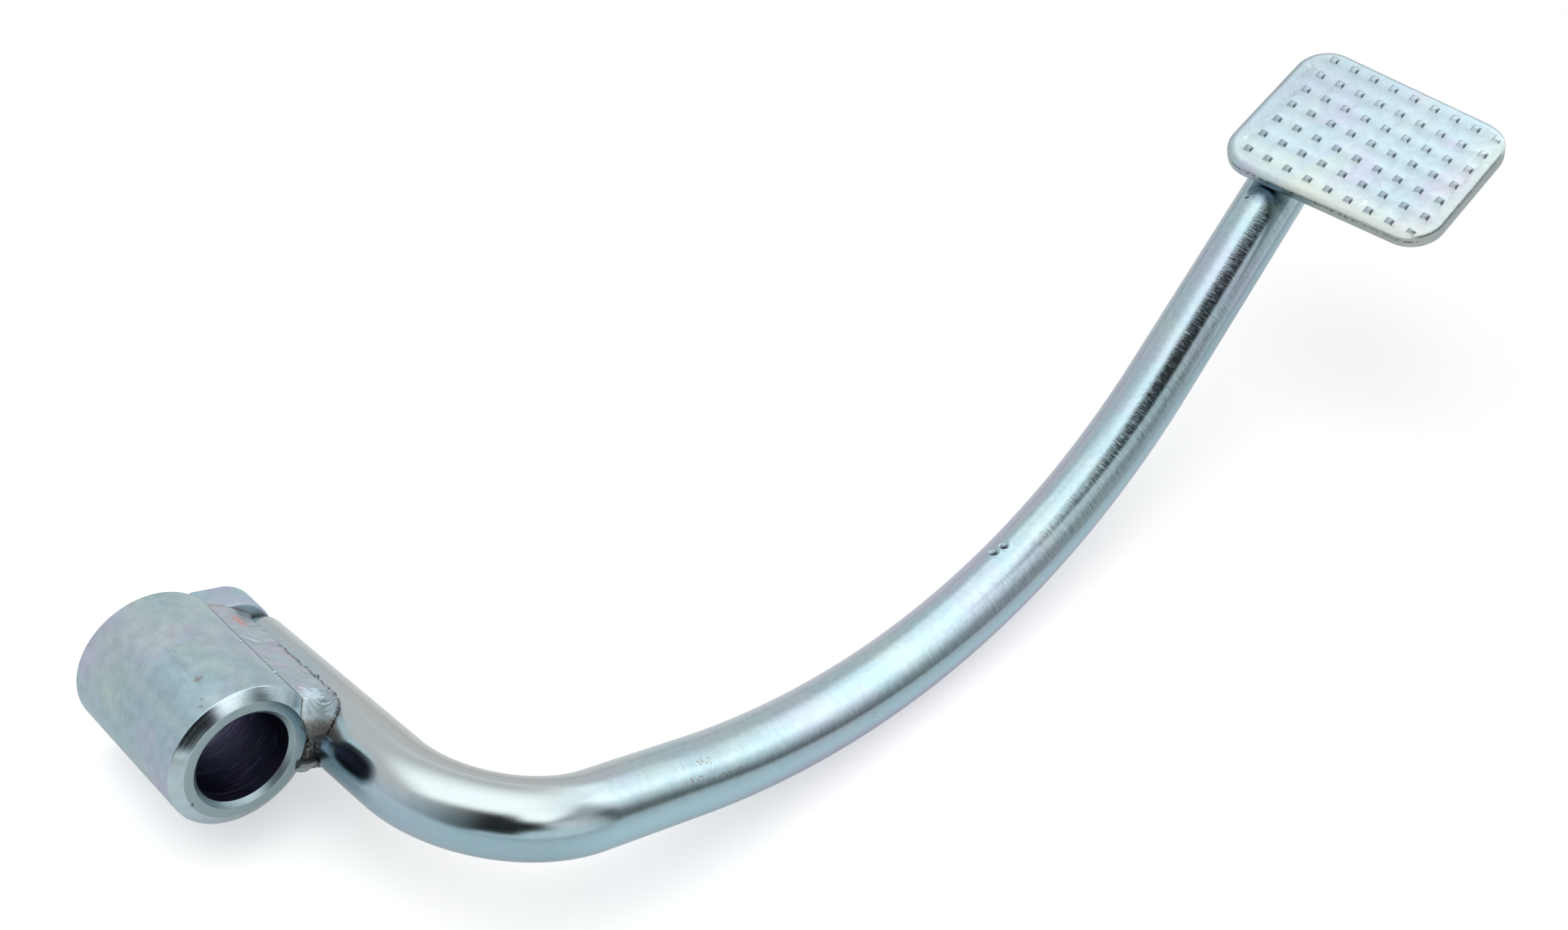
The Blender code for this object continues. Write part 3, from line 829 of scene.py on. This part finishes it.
def barFinish(line):
    made = Finish("barZinc", 0.125, (0.07, 0.40, 0.30), (0.7, 0.07))
    along, side, other = made.axes(made.place)
    turn = math.radians(arm["lying"])
    across = made.times(other, math.cos(turn) / arm["radius"])
    across = mathNode(made.tree, "MULTIPLY_ADD", side, -math.sin(turn) / arm["radius"], across)
    # painted light and reflections on each side of the lying bar: a warm pale highlight tint over its upper
    # side at the bend, a warm top edge near the bush, a bluer underside that turns brighter cyan further out,
    # and lilac at both edges along the sweep
    for band, reaches, colour, share in arm["paintedLightTints"]:
        mask = made.ramp(across, *band)
        for reach in reaches:
            mask = made.times(mask, made.ramp(along, *reach))
        made.paint(mask, colour, share)
    made.paint(made.ramp(along, 1.1, 0.3), dirt, 0.85)
    made.speckle(0.7, 0.9, 0.07, 0.57)
    crumbs = made.ramp(noiseNode(made.tree, made.place, 2.4, 3.0, 0.6), 0.56, 0.62)
    for place, reach in arm["flecks"]:
        looks = dict(Centre=barPlace(line, place), Reach=reach, Ragged=0.3, Grain=1.2, Softness=0.4)
        made.paint(made.times(crumbs, made.group("spot", **looks)["Mask"]), rust, 0.8)
    strokes = made.ramp(made.marks((3.2, 0.06, 0.06), 0.08)["Height"], 0.86, 1.0)
    for place, reach in arm["scratches"]:
        looks = dict(Centre=barPlace(line, place), Reach=reach, Ragged=0.5, Grain=0.6, Softness=0.9)
        made.paint(made.times(strokes, made.group("spot", **looks)["Mask"]), (0.68, 0.76, 0.80), 0.18)
    # the shadow of the tread
    shade = barPlace(line, arm["shade"])
    made.spot(shade, (4.0, 6.5, 6.5), (0.05, 0.10, 0.16), 0.85, Ragged=0.1, Softness=0.8)
    rings = made.marks((8.0, 0.55, 0.55), 0.24, Detail=0.8)
    made.roughen(rings["Scuff"], 0.03)
    made.roughen(made.cloud, 0.03)
    # past the neck the bar is glossier and shows its drawn lines, and the rings grow along the sweep
    drawn = made.ramp(along, 66.0, 112.0)
    made.roughen(drawn, -0.045)
    made.bump(made.times(made.marks((0.9, 0.10, 0.10), 0.2, Detail=1.5)["Height"], drawn), 0.006)
    made.bump(made.times(rings["Height"], made.ramp(along, 120.0, 215.0, 0.12, 1.0)), 0.010)
    made.bump(made.marks((8.0, 7.0, 7.0), 0.2)["Height"], 0.003)
    for place, reach, depth in arm["dents"]:
        centre = barPlace(line, place)
        # painted shade: the pits of the dents are painted near black
        pit = made.spot(centre, (reach,) * 3, (0.06, 0.09, 0.11), 0.85, Ragged=0.08, Softness=0.95)
        rim = made.group("spot", Centre=centre, Reach=(reach * 1.5,) * 3, Ragged=0.05, Softness=0.7)["Mask"]
        made.bump(rim, depth * 0.3)
        made.bump(mathNode(made.tree, "SUBTRACT", 1.0, pit), depth * 1.2)
    return made.finish()


def dentDepth(away, depth):
    # away is the distance from the dent's centre over its reach; the rim stands up a little
    return depth * (math.exp(-(away * 1.6) ** 2) - 0.2 * math.exp(-((away - 1.05) * 4.0) ** 2))


def barSections(line):
    # place, direction, radius and run of each ring; the rings at both ends follow the deburred edges
    edge = arm["endEdge"]
    radius = arm["radius"] - arm["skin"]
    lengths = [0.0]
    for (a, _), (b, _) in zip(line, line[1:]):
        lengths.append(lengths[-1] + (b - a).length)
    total = lengths[-1]
    place, direction = line[0]
    sections = []
    for inset, run in quarterArc(edge, 4):
        sections.append((place + direction * run, direction, radius - inset, run))
    for k in range(len(line) - 1):
        (a, before), (b, after) = line[k], line[k + 1]
        near = min((Vector(centre) - a).length for centre, _, _ in arm["dents"])
        parts = arm["finerParts"] if near < radius + arm["finerReach"] else 1
        for part in range(parts):
            share = part / parts
            along = lerp(lengths[k], lengths[k + 1], share)
            if edge * 1.2 < along < total - edge * 1.2:
                sections.append((a.lerp(b, share), before.lerp(after, share).normalized(), radius, along))
    place, direction = line[-1]
    for inset, back in quarterArc(edge, 4)[::-1]:
        sections.append((place - direction * back, direction, radius - inset, total - back))
    return sections


def makeArm():
    line = barLine()
    sections = barSections(line)
    steps = arm["steps"]
    radius = arm["radius"] - arm["skin"]
    side = Vector((0.0, 0.0, 1.0))
    points = []
    local = []
    for place, direction, size, along in sections:
        side = (side - direction * side.dot(direction)).normalized()
        other = direction.cross(side)
        for i in range(steps):
            turn = 2.0 * math.pi * i / steps
            out = side * math.cos(turn) + other * math.sin(turn)
            point = place + out * size
            for centre, reach, depth in arm["dents"]:
                away = (point - Vector(centre)).length / reach
                if away < 1.6:
                    point -= out * dentDepth(away, depth)
            points.append(point)
            local.append((along, radius * math.cos(turn), radius * math.sin(turn)))
    made = meshPiece("bentBar", points, tubeFaces(steps, len(sections)), barFinish(line), local, 50.0)
    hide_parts("pedal_arm")
    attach(made, "root")
    return line


armLine = makeArm()
print("arm ready")


# rear lug

lug = dict(
    radius=7.9,
    centre=(15.0, 0.0),
    side=8.9,
    taper=0.5,
    thickness=6.2,
    frontRound=0.5,
    rearRound=0.8,
    cornerRound=0.9,
)


def lugFinish():
    made = Finish("lugZinc", 0.46, (0.11, 0.6, 0.25), (0.8, 0.08))
    made.speckle(0.6, 1.1, 0.08, 0.57)
    made.roughen(made.cloud, 0.08)
    made.bump(made.marks((1.4, 5.0, 1.4), 0.2)["Height"], 0.010)
    made.bump(made.marks((8.0, 8.0, 8.0), 0.22)["Height"], 0.004)
    return made.finish()


def makeLug():
    s = lug
    e = s["cornerRound"]
    height = s["radius"] - s["taper"]
    quarter = math.pi / 2
    places = arcPoints(s["centre"], s["radius"], -quarter, quarter, 72)
    places += arcPoints((s["side"] + e, height - e), e, quarter, math.pi, 8)
    places += arcPoints((s["side"] + e, e - height), e, math.pi, math.pi * 1.5, 8)
    levels = quarterArc(s["frontRound"], 8)[::-1]
    levels += [(s["thickness"] - drop, inset) for drop, inset in quarterArc(s["rearRound"], 8)]
    outline = [Vector(p) for p in places]
    start = bush["length"] + arm["gap"]
    points = [(p.x, start + level, p.y) for level, inset in levels for p in drawnIn(outline, inset)]
    faces = tubeFaces(len(outline), len(levels))
    made = meshPiece("endLug", points, faces, lugFinish(), crease=50.0)
    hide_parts("rear_lug")
    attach(made, "root")


makeLug()
print("lug ready")


# tread plate

tread = dict(
    thickness=3.0,
    corners=[(-24.8, -19.72), (23.92, -16.43), (22.34, 17.74), (-25.8, 17.34)],
    cornerRadius=7.2,
    rollWidth=1.7,
    rollDrop=1.1,
    outerRoll=0.4,
    lowerEdge=0.35,
    sink=0.02,    # keeps the pips inside their solids
    lean=6.2,
    turn=11.4,
    inboard=18.1,
    beyond=10.45,
    pitch=4.86,
    across=9,
    forward=7,
    wobble=0.07,
    pipRings=[(0.96, 0.0), (0.87, 0.03), (0.78, 0.12), (0.63, 0.23), (0.46, 0.29), (0.23, 0.32)],
    pipTop=0.33,
    pipCut=0.16,    # how much is cut off the corners of a pip's ring
    pipTopCut=0.12,
    smudges=[    # centre, reach and share
        ((-22.3, 8.2, 0.0), (1.5, 2.6, 2.0), 0.35), ((-20.9, 2.6, 0.0), (0.8, 1.3, 1.0), 0.65),
        ((-21.9, 10.4, 0.0), (1.1, 1.3, 1.0), 0.4), ((-19.9, 10.5, 0.0), (0.7, 0.9, 1.0), 0.35),
        ((-17.0, 11.2, 0.0), (0.6, 0.6, 1.0), 0.4), ((-15.0, 6.8, 0.0), (0.7, 1.9, 1.0), 0.3),
    ],
    scratches=[
        ((-23.1, 10.6, 0.0), (0.9, 0.4, 1.0)), ((-21.8, -12.3, 0.0), (0.35, 1.1, 1.0)),
        ((19.1, 10.2, 0.0), (1.9, 0.35, 1.0)), ((21.4, 7.6, 0.0), (1.0, 0.3, 1.0)),
        ((-0.3, -9.9, 0.0), (1.1, 0.3, 1.0)), ((7.8, -13.2, 0.0), (0.8, 0.8, 1.0)),
    ],
)


def treadPlace(line):
    tail = line[-1][1]
    outward = Vector((0.0, -1.0, 0.0))
    outward = (outward - tail * outward.dot(tail)).normalized()
    outward = Matrix.Rotation(math.radians(tread["lean"]), 3, tail) @ outward
    facing = outward.cross(tail)
    turn = Matrix.Rotation(-math.radians(tread["turn"]), 3, facing)
    outward = turn @ outward
    forward = turn @ tail
    under = line[-1][0] + facing * (arm["radius"] + arm["gap"])
    lift = tread["thickness"] - tread["sink"]
    top = under + outward * tread["inboard"] - forward * tread["beyond"] + facing * lift
    return axesMatrix(top, (outward, forward, facing)), facing


def edgeDistance(place, outline):
    nearest = 1e9
    count = len(outline)
    for i in range(count):
        a = outline[i]
        b = outline[(i + 1) % count]
        along = b - a
        share = max(0.0, min(1.0, (place - a).dot(along) / along.length_squared))
        nearest = min(nearest, (place - a - along * share).length)
    return nearest


def pipPlaces():
    s = tread
    pips = []
    for i in range(s["across"]):
        for j in range(s["forward"]):
            wobble = Vector((noise.noise((i * 3.1, j * 2.7, 0.5)), noise.noise((i * 1.9, j * 3.3, 7.5))))
            x = (i - (s["across"] - 1) / 2) * s["pitch"]
            y = (j - (s["forward"] - 1) / 2) * s["pitch"]
            pips.append(Vector((x, y)) + wobble * s["wobble"])
    return pips


def treadHeight(place, outline, pips):
    # over the flat top: down at the rolled edge, up on the pips
    s = tread
    inside = edgeDistance(place, outline)
    height = 0.0
    local = lerp(1.0, s["outerRoll"], smoothStep(17.0, 21.0, place.x))
    width = s["rollWidth"] * local
    if inside < width:
        height = -s["rollDrop"] * local * (1.0 - math.sqrt(max(0.0, 1.0 - (1.0 - inside / width) ** 2)))
    off = place - min(pips, key=lambda pip: (pip - place).length_squared)
    reach = max(abs(off.x), abs(off.y), (abs(off.x) + abs(off.y)) / (2.0 - s["pipCut"]))
    rings = s["pipRings"] + [(0.0, s["pipTop"])]
    for (outer, low), (inner, high) in zip(rings, rings[1:]):
        if inner <= reach <= outer:
            height += lerp(low, high, (outer - reach) / (outer - inner)) * smoothStep(0.5, 2.0, inside)
            break
    return height


def treadTop(outline):
    # the top face: rings for the rolled edge and for every pip, joined by one triangulation
    s = tread
    places = []
    edges = []

    def addRing(ring):
        first = len(places)
        places.extend(ring)
        edges.extend((first + i, first + (i + 1) % len(ring)) for i in range(len(ring)))

    width = s["rollWidth"]
    for inset in [width * (1.0 - math.cos(math.pi / 2 * i / 8)) for i in range(9)] + [width + 0.12]:
        addRing(drawnIn(outline, inset))
    pips = pipPlaces()
    for middle in pips:
        for half, _ in s["pipRings"]:
            c = 1.0 - (s["pipCut"] if half > 0.5 else s["pipTopCut"])
            square = [(1, -c), (1, c), (c, 1), (-c, 1), (-1, c), (-1, -c), (-c, -1), (c, -1)]
            addRing([middle + Vector(corner) * half for corner in square])
        places.append(middle.copy())
    verts, _, faces, _, _, _ = geometry.delaunay_2d_cdt(places, edges, [], 1, 0.0005)
    points = [Vector((place.x, place.y, treadHeight(place, outline, pips))) for place in verts]
    return points, [tuple(face) for face in faces]


def treadFinish():
    made = Finish("treadZinc", 0.32, (0.085, 0.6, 0.4), (0.45, 0.07), Base=(0.39, 0.50, 0.55))
    made.speckle(0.6, 0.8, 0.07, 0.57)
    for centre, reach, share in tread["smudges"]:
        made.spot(centre, reach, (0.17, 0.12, 0.085), share, Ragged=0.6, Grain=1.4, Softness=0.8)
    for centre, reach in tread["scratches"]:
        made.spot(centre, reach, (0.70, 0.78, 0.80), 0.6, Ragged=0.7, Grain=2.2, Softness=0.6)
    x, y, z = made.axes(made.place)
    # painted reflection: darker towards the far inner corner, warmer and paler along the near and outer
    # edges, where the plate mirrors brighter surroundings
    diagonal = mathNode(made.tree, "SUBTRACT", x, y)
    made.paint(made.ramp(diagonal, 6.0, -38.0), (0.31, 0.39, 0.44), 0.6)
    made.paint(made.times(made.ramp(y, -9.0, -17.0), made.ramp(x, -20.0, 0.0)), (0.54, 0.565, 0.50), 0.65)
    made.paint(made.ramp(x, 14.0, 22.0), (0.52, 0.56, 0.52), 0.5)
    # the crumbling dark line along the near wall
    crumbs = made.ramp(noiseNode(made.tree, made.place, 1.3, 4.0, 0.65), 0.44, 0.60)
    line = made.times(made.ramp(z, -0.75, -1.0), made.ramp(z, -1.75, -1.3))
    line = made.times(line, made.ramp(y, -13.5, -16.0))
    made.paint(made.times(line, crumbs), (0.07, 0.055, 0.045), 0.75)
    # painted shade: the tops of the pips are darker, most on the near side
    pipShade = made.times(made.ramp(z, 0.08, 0.24), made.ramp(y, 15.0, -10.0, 0.05, 0.8))
    made.paint(pipShade, (0.16, 0.21, 0.25), 0.8)
    grain = made.marks((3.2, 3.2, 3.2), 0.22)
    made.roughen(grain["Scuff"], 0.06)
    made.bump(made.marks((0.35, 0.35, 0.35), 0.25)["Height"], 0.04)
    made.bump(grain["Height"], 0.012)
    return made.finish()


def makeTread(line):
    s = tread
    outline = roundedOutline(s["corners"], [s["cornerRadius"]] * 4, 14)
    points, faces = treadTop(outline)
    # the top's rim is found again by place, then the wall, lower edge and underside follow
    count = len(outline)
    before = []
    for place in outline:
        before.append(min(range(len(points)), key=lambda k: (points[k].xy - place).length_squared))
    levels = [(-s["rollDrop"] - 0.25, 0.0)]
    levels += [(drop - s["thickness"], inset) for drop, inset in quarterArc(s["lowerEdge"], 4)]
    for height, inset in levels:
        ring = [len(points) + i for i in range(count)]
        points += [Vector((p.x, p.y, height)) for p in drawnIn(outline, inset)]
        for i in range(count):
            n = (i + 1) % count
            faces.append((before[i], before[n], ring[n], ring[i]))
        before = ring
    faces.append(tuple(before))
    place, facing = treadPlace(line)
    placed = [place @ p for p in points]
    made = meshPiece("treadPlate", placed, faces, treadFinish(), points, 40.0)
    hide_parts("tread_plate")
    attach(made, "root")
    return facing


facing = makeTread(armLine)
print("tread ready")


# weld beads

bead = dict(
    root=3.4,
    noseRoot=2.6,
    clearance=0.06,
    bushToe=48.5,
    barToe=72.0,
    lowerShare=0.6,
    noseReach=1.1,
    noseLength=5.6,
    crown=0.3,
    noseCrown=1.0,
    crescent=1.3,
    stations=230,
    edgePoints=10,
    crownPoints=56,
    glow=(11.6, 25.1, 7.6),
    hollow=(14.2, 26.6, 7.3),
)


def weldFinish():
    made = Finish(
        "weldZinc", 0.26, (0.22, 0.55, 0.3), (1.2, 0.10), Base=(0.37, 0.46, 0.51), Lilac=(0.46, 0.41, 0.53),
    )
    made.spot(bead["glow"], (2.3, 3.4, 2.4), (0.60, 0.30, 0.29), 0.8, Ragged=0.3, Grain=0.8, Softness=0.95)
    # painted shade: a darker grey in the hollow of the last pass by the lug
    made.spot(bead["hollow"], (1.3, 1.7, 2.0), (0.30, 0.33, 0.36), 0.7, Ragged=0.25, Grain=0.9, Softness=0.9)
    toe, scorch, seam = made.axes(made.attribute("weldMarks"))
    crumbs = noiseNode(made.tree, made.place, 2.6, 4.0, 0.65)
    crust = made.times(toe, made.ramp(crumbs, 0.36, 0.56))
    soot = made.times(scorch, made.ramp(crumbs, 0.30, 0.60, 0.35, 1.0))
    made.paint(crust, (0.09, 0.08, 0.07), 0.9)
    made.paint(soot, (0.15, 0.105, 0.07), 0.85)
    made.paint(seam, (0.34, 0.29, 0.20), 0.8)
    made.roughen(crust, 0.25)
    made.roughen(soot, 0.30)
    made.speckle(0.5, 2.2, 0.16, 0.53)
    made.roughen(made.cloud, 0.08)
    made.bump(made.marks((4.5, 4.5, 4.5), 0.22)["Height"], 0.010)
    return made.finish()


def beadRelief(side, y, t):
    # height over the plain crown, in millimetres; t runs from the bush's toe to the bar's
    bow = math.sin(math.pi * t)
    relief = 0.10 * noise.noise((t * 5.0, y * 0.45, side * 3.0))
    if side > 0:
        # the smooth last pass by the lug, with its rim and its hollow
        rim = lerp(19.4, 21.3, t) - 0.9 * bow
        relief += 0.22 * ramps(y, (rim - 0.35, rim + 0.25), (30.0, 27.0))
        relief += 0.10 * math.exp(-((y - rim) / 0.35) ** 2)
        relief -= 0.34 * math.exp(-((y - 26.2) / 1.3) ** 2 - ((t - 0.66) / 0.16) ** 2)
        relief += 0.25 * smoothStep(27.0, 29.7, y)
    # ripples that close up towards the nose
    run = y + 1.7 * bow ** 1.3 - 0.8 * t
    close = max(0.0, 6.5 - run)
    phase = run / 1.5 - 0.95 * (close * close / 7.0 if close < 3.5 else close - 1.75)
    phase += 0.30 * noise.noise((t * 3.0, y * 0.3, 8.0))
    ridge = abs(math.sin(math.pi * phase)) ** 0.7
    relief += lerp(0.03, 0.26, smoothStep(9.5, 2.5, y)) * (ridge - 0.6) * ramps(t, (0.0, 0.2), (1.0, 0.88))
    # crumbs at the bar's toe
    rough = noise.noise((t * 22.0, y * 2.6, 4.0 + side)) + 0.6 * noise.noise((t * 40.0, y * 5.5, 11.0))
    return relief + 0.24 * rough * smoothStep(0.84, 0.94, t) * smoothStep(23.0, 17.0, y)


def beadMarks(side, y, t):
    # how much each place is crusted at the bar's toe, scorched at the nose, and browned at the lug
    toe = smoothStep(0.87, 0.93, t) * smoothStep(22.5, 18.0, y)
    nose = smoothStep(0.0, -0.9, y)
    edge = smoothStep(0.05, 0.0, t) * smoothStep(9.0, 2.0, y) * 0.6
    seam = smoothStep(29.1, 29.6, y) if side > 0 else 0.0
    return (toe, max(nose, edge), seam)


def chamferedRadius(y):
    # the bush's radius at y, smaller beside its chamfer
    beside = max(0.0, min(1.0, y / bush["chamferDepth"]))
    return bush["radius"] - bush["chamferWidth"] * (1.0 - beside)


def beadSection(y, side, share, openShare, crescent, crownHeight):
    # one cross-section, from the root over the bush, the crown and the bar, with the marks of its points
    s = bead
    bar = rootPoint(y)
    lean = math.atan2(bar.z, bar.x)
    bushRadius = chamferedRadius(y) + s["clearance"]
    barRadius = arm["radius"] + s["clearance"]
    root = lerp(s["noseRoot"], s["root"], max(0.0, min(1.0, y / bush["chamferDepth"])))
    bushRoot = math.asin(root / bushRadius)
    barRoot = math.asin(root / barRadius)
    toeNoise = 2.6 * noise.noise((y * 1.1, side, 2.0)) + 2.4 * noise.noise((y * 3.3, side, 5.0))
    wander = 1.2 * noise.noise((y * 0.5, side, 31.0)) + 0.5 * noise.noise((y * 2.1, side, 17.0))
    bushToe = lerp(bushRoot, math.radians(s["bushToe"] + wander) * share, openShare)
    barToe = lerp(barRoot, math.radians(s["barToe"] + toeNoise) * share, openShare)
    onBush = []
    onBar = []
    for i in range(s["edgePoints"]):
        step = i / (s["edgePoints"] - 1)
        turn = lean + side * lerp(bushRoot, bushToe, step)
        onBush.append(Vector((bushRadius * math.cos(turn), y, bushRadius * math.sin(turn))))
        turn = lean + math.pi - side * lerp(barRoot, barToe, step)
        onBar.append(Vector((bar.x + barRadius * math.cos(turn), y, bar.z + barRadius * math.sin(turn))))
    crown = []
    marks = [beadMarks(side, y, 0.0)] * s["edgePoints"]
    for i in range(1, s["crownPoints"]):
        t = i / s["crownPoints"]
        bow = math.sin(math.pi * t)
        lift = bow * crownHeight + beadRelief(side, y, t) * min(1.0, bow * 3.0) * openShare * share
        crown.append(onBush[-1].lerp(onBar[-1], t) + Vector((0.3 * lift, -crescent * bow, side * lift)))
        marks.append(beadMarks(side, y, t))
    marks += [beadMarks(side, y, 1.0)] * s["edgePoints"]
    return onBush + crown + onBar[::-1], marks


def weldPiece(name, sections, material, marks=None):
    # cross-sections with as many points each, joined and closed at both ends
    points = [p for section in sections for p in section]
    faces = tubeFaces(len(sections[0]), len(sections))
    return meshPiece(name, points, faces, material, crease=60.0, weldMarks=marks)


def makeBead(name, node, side, share, material):
    s = bead
    rear = bush["length"]
    front = -s["noseReach"] * share
    sections = []
    marks = []
    for i in range(s["stations"] + 1):
        travel = i / s["stations"]
        y = lerp(rear, front, travel)
        ahead = max(0.0, min(1.0, (y - front) / s["noseLength"]))
        openShare = max(0.05, math.sqrt(1.0 - (1.0 - ahead) ** 2))
        crescent = s["crescent"] * min(1.0, (rear - y) / s["noseLength"], ahead)
        crownHeight = lerp(s["crown"], s["noseCrown"], travel ** 3) * openShare * share
        section, sectionMarks = beadSection(y, side, share, openShare, crescent, crownHeight)
        sections.append(section)
        marks += sectionMarks
    made = weldPiece(name, sections, material, marks)
    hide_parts(node)
    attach(made, "root")


groove = dict(
    reach=4.3,
    front=0.75,
    back=4.5,
    bite=0.1,    # how far it reaches into the bush and the bar
    rows=60,
    columns=26,
)


def makeGroove(material):
    # the rough crust down in the groove between the bush's chamfer and the bar
    s = groove
    sections = []
    for j in range(s["rows"] + 1):
        z = lerp(-s["reach"], s["reach"], j / s["rows"])
        front = []
        for i in range(s["columns"] + 1):
            t = i / s["columns"]
            rough = noise.noise((t * 3.0, z * 1.3, 2.0)) + 0.6 * noise.noise((t * 7.0, z * 3.6, 9.0))
            y = s["front"] + 0.30 * rough - 0.25 * math.sin(math.pi * t)
            left = math.sqrt(chamferedRadius(y) ** 2 - z * z) - s["bite"]
            bar = rootPoint(y)
            right = bar.x - math.sqrt(arm["radius"] ** 2 - (z - bar.z) ** 2) + s["bite"]
            front.append(Vector((lerp(left, right, t), y, z)))
        deep = [Vector((p.x, s["back"], p.z)) for p in front]
        sections.append(front + deep[::-1])
    marks = [(0.0, 1.0, 0.0)] * (len(sections) * len(sections[0]))
    made = weldPiece("grooveCrust", sections, material, marks)
    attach(made, "root")


weldMaterial = weldFinish()
makeBead("upperBead", "bush_weld_upper", 1.0, 1.0, weldMaterial)
makeBead("lowerBead", "bush_weld_lower", -1.0, bead["lowerShare"], weldMaterial)
makeGroove(weldMaterial)


spatter = dict(
    balls=[    # centre and radius
        ((5.74, 15.49, 10.59), 0.30), ((6.48, 6.85, 10.16), 0.34), ((16.9, 12.2, 6.6), 0.18),
        ((17.1, 9.6, 6.7), 0.22), ((17.0, 20.6, 6.4), 0.15),
    ],
)


def makeSpatter(material):
    bm = bmesh.new()
    for place, size in spatter["balls"]:
        bmesh.ops.create_icosphere(bm, subdivisions=3, radius=size, matrix=Matrix.Translation(place))
    points = [v.co.copy() for v in bm.verts]
    faces = [tuple(v.index for v in f.verts) for f in bm.faces]
    bm.free()
    made = meshPiece("spatter", points, faces, material)
    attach(made, "root")


makeSpatter(weldMaterial)


fillet = dict(
    root=3.6,
    barToe=60.0,
    plateToe=6.6,
    barClearance=0.08,
    plateLevel=0.24,    # over the bar, a little below the plate
    length=22.5,
    setback=1.5,
    stations=150,
    edgePoints=8,
    crownPoints=22,
    lift=0.25,
    ripple=0.16,
    pitch=1.5,
)


def filletSection(side, back, openShare):
    # one cross-section, x out from the bar's side and y up to the plate
    s = fillet
    barRadius = arm["radius"] + s["barClearance"]
    rootAngle = math.asin(s["root"] / barRadius)
    plateToe = lerp(s["root"], s["plateToe"], openShare)
    barToe = lerp(rootAngle, math.radians(s["barToe"]), openShare)
    onPlate = []
    onBar = []
    for k in range(s["edgePoints"]):
        step = k / (s["edgePoints"] - 1)
        angle = lerp(rootAngle, barToe, step)
        onPlate.append(Vector((side * lerp(s["root"], plateToe, step), arm["radius"] + s["plateLevel"])))
        onBar.append(Vector((side * barRadius * math.sin(angle), barRadius * math.cos(angle))))
    crown = []
    for k in range(1, s["crownPoints"]):
        t = k / s["crownPoints"]
        bow = math.sin(math.pi * t)
        wave = math.sin(2.0 * math.pi * (back + 1.6 * bow) / s["pitch"])
        wave += 0.8 * noise.noise((t * 4.0, back * 0.6, side))
        lift = (s["lift"] + s["ripple"] * wave) * bow * openShare
        crown.append(onPlate[-1].lerp(onBar[-1], t) + Vector((side * 0.6, -0.8)) * lift)
    return onPlate + crown + onBar[::-1]


def makeFillet(name, node, side, line, facing, material):
    s = fillet
    tailEnd, tail = line[-1]
    outward = tail.cross(facing)
    sections = []
    for i in range(s["stations"] + 1):
        travel = i / s["stations"]
        back = s["setback"] + s["length"] * travel
        openShare = max(0.15, math.sqrt(max(0.0, 1.0 - (2.0 * travel - 1.0) ** 6)))
        section = filletSection(side, back, openShare)
        centre = tailEnd - tail * back
        sections.append([centre + outward * p.x + facing * p.y for p in section])
    made = weldPiece(name, sections, material)
    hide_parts(node)
    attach(made, "root")


makeFillet("outerFillet", "tread_weld_outer", 1.0, armLine, facing, weldMaterial)
makeFillet("innerFillet", "tread_weld_inner", -1.0, armLine, facing, weldMaterial)
print("welds ready")
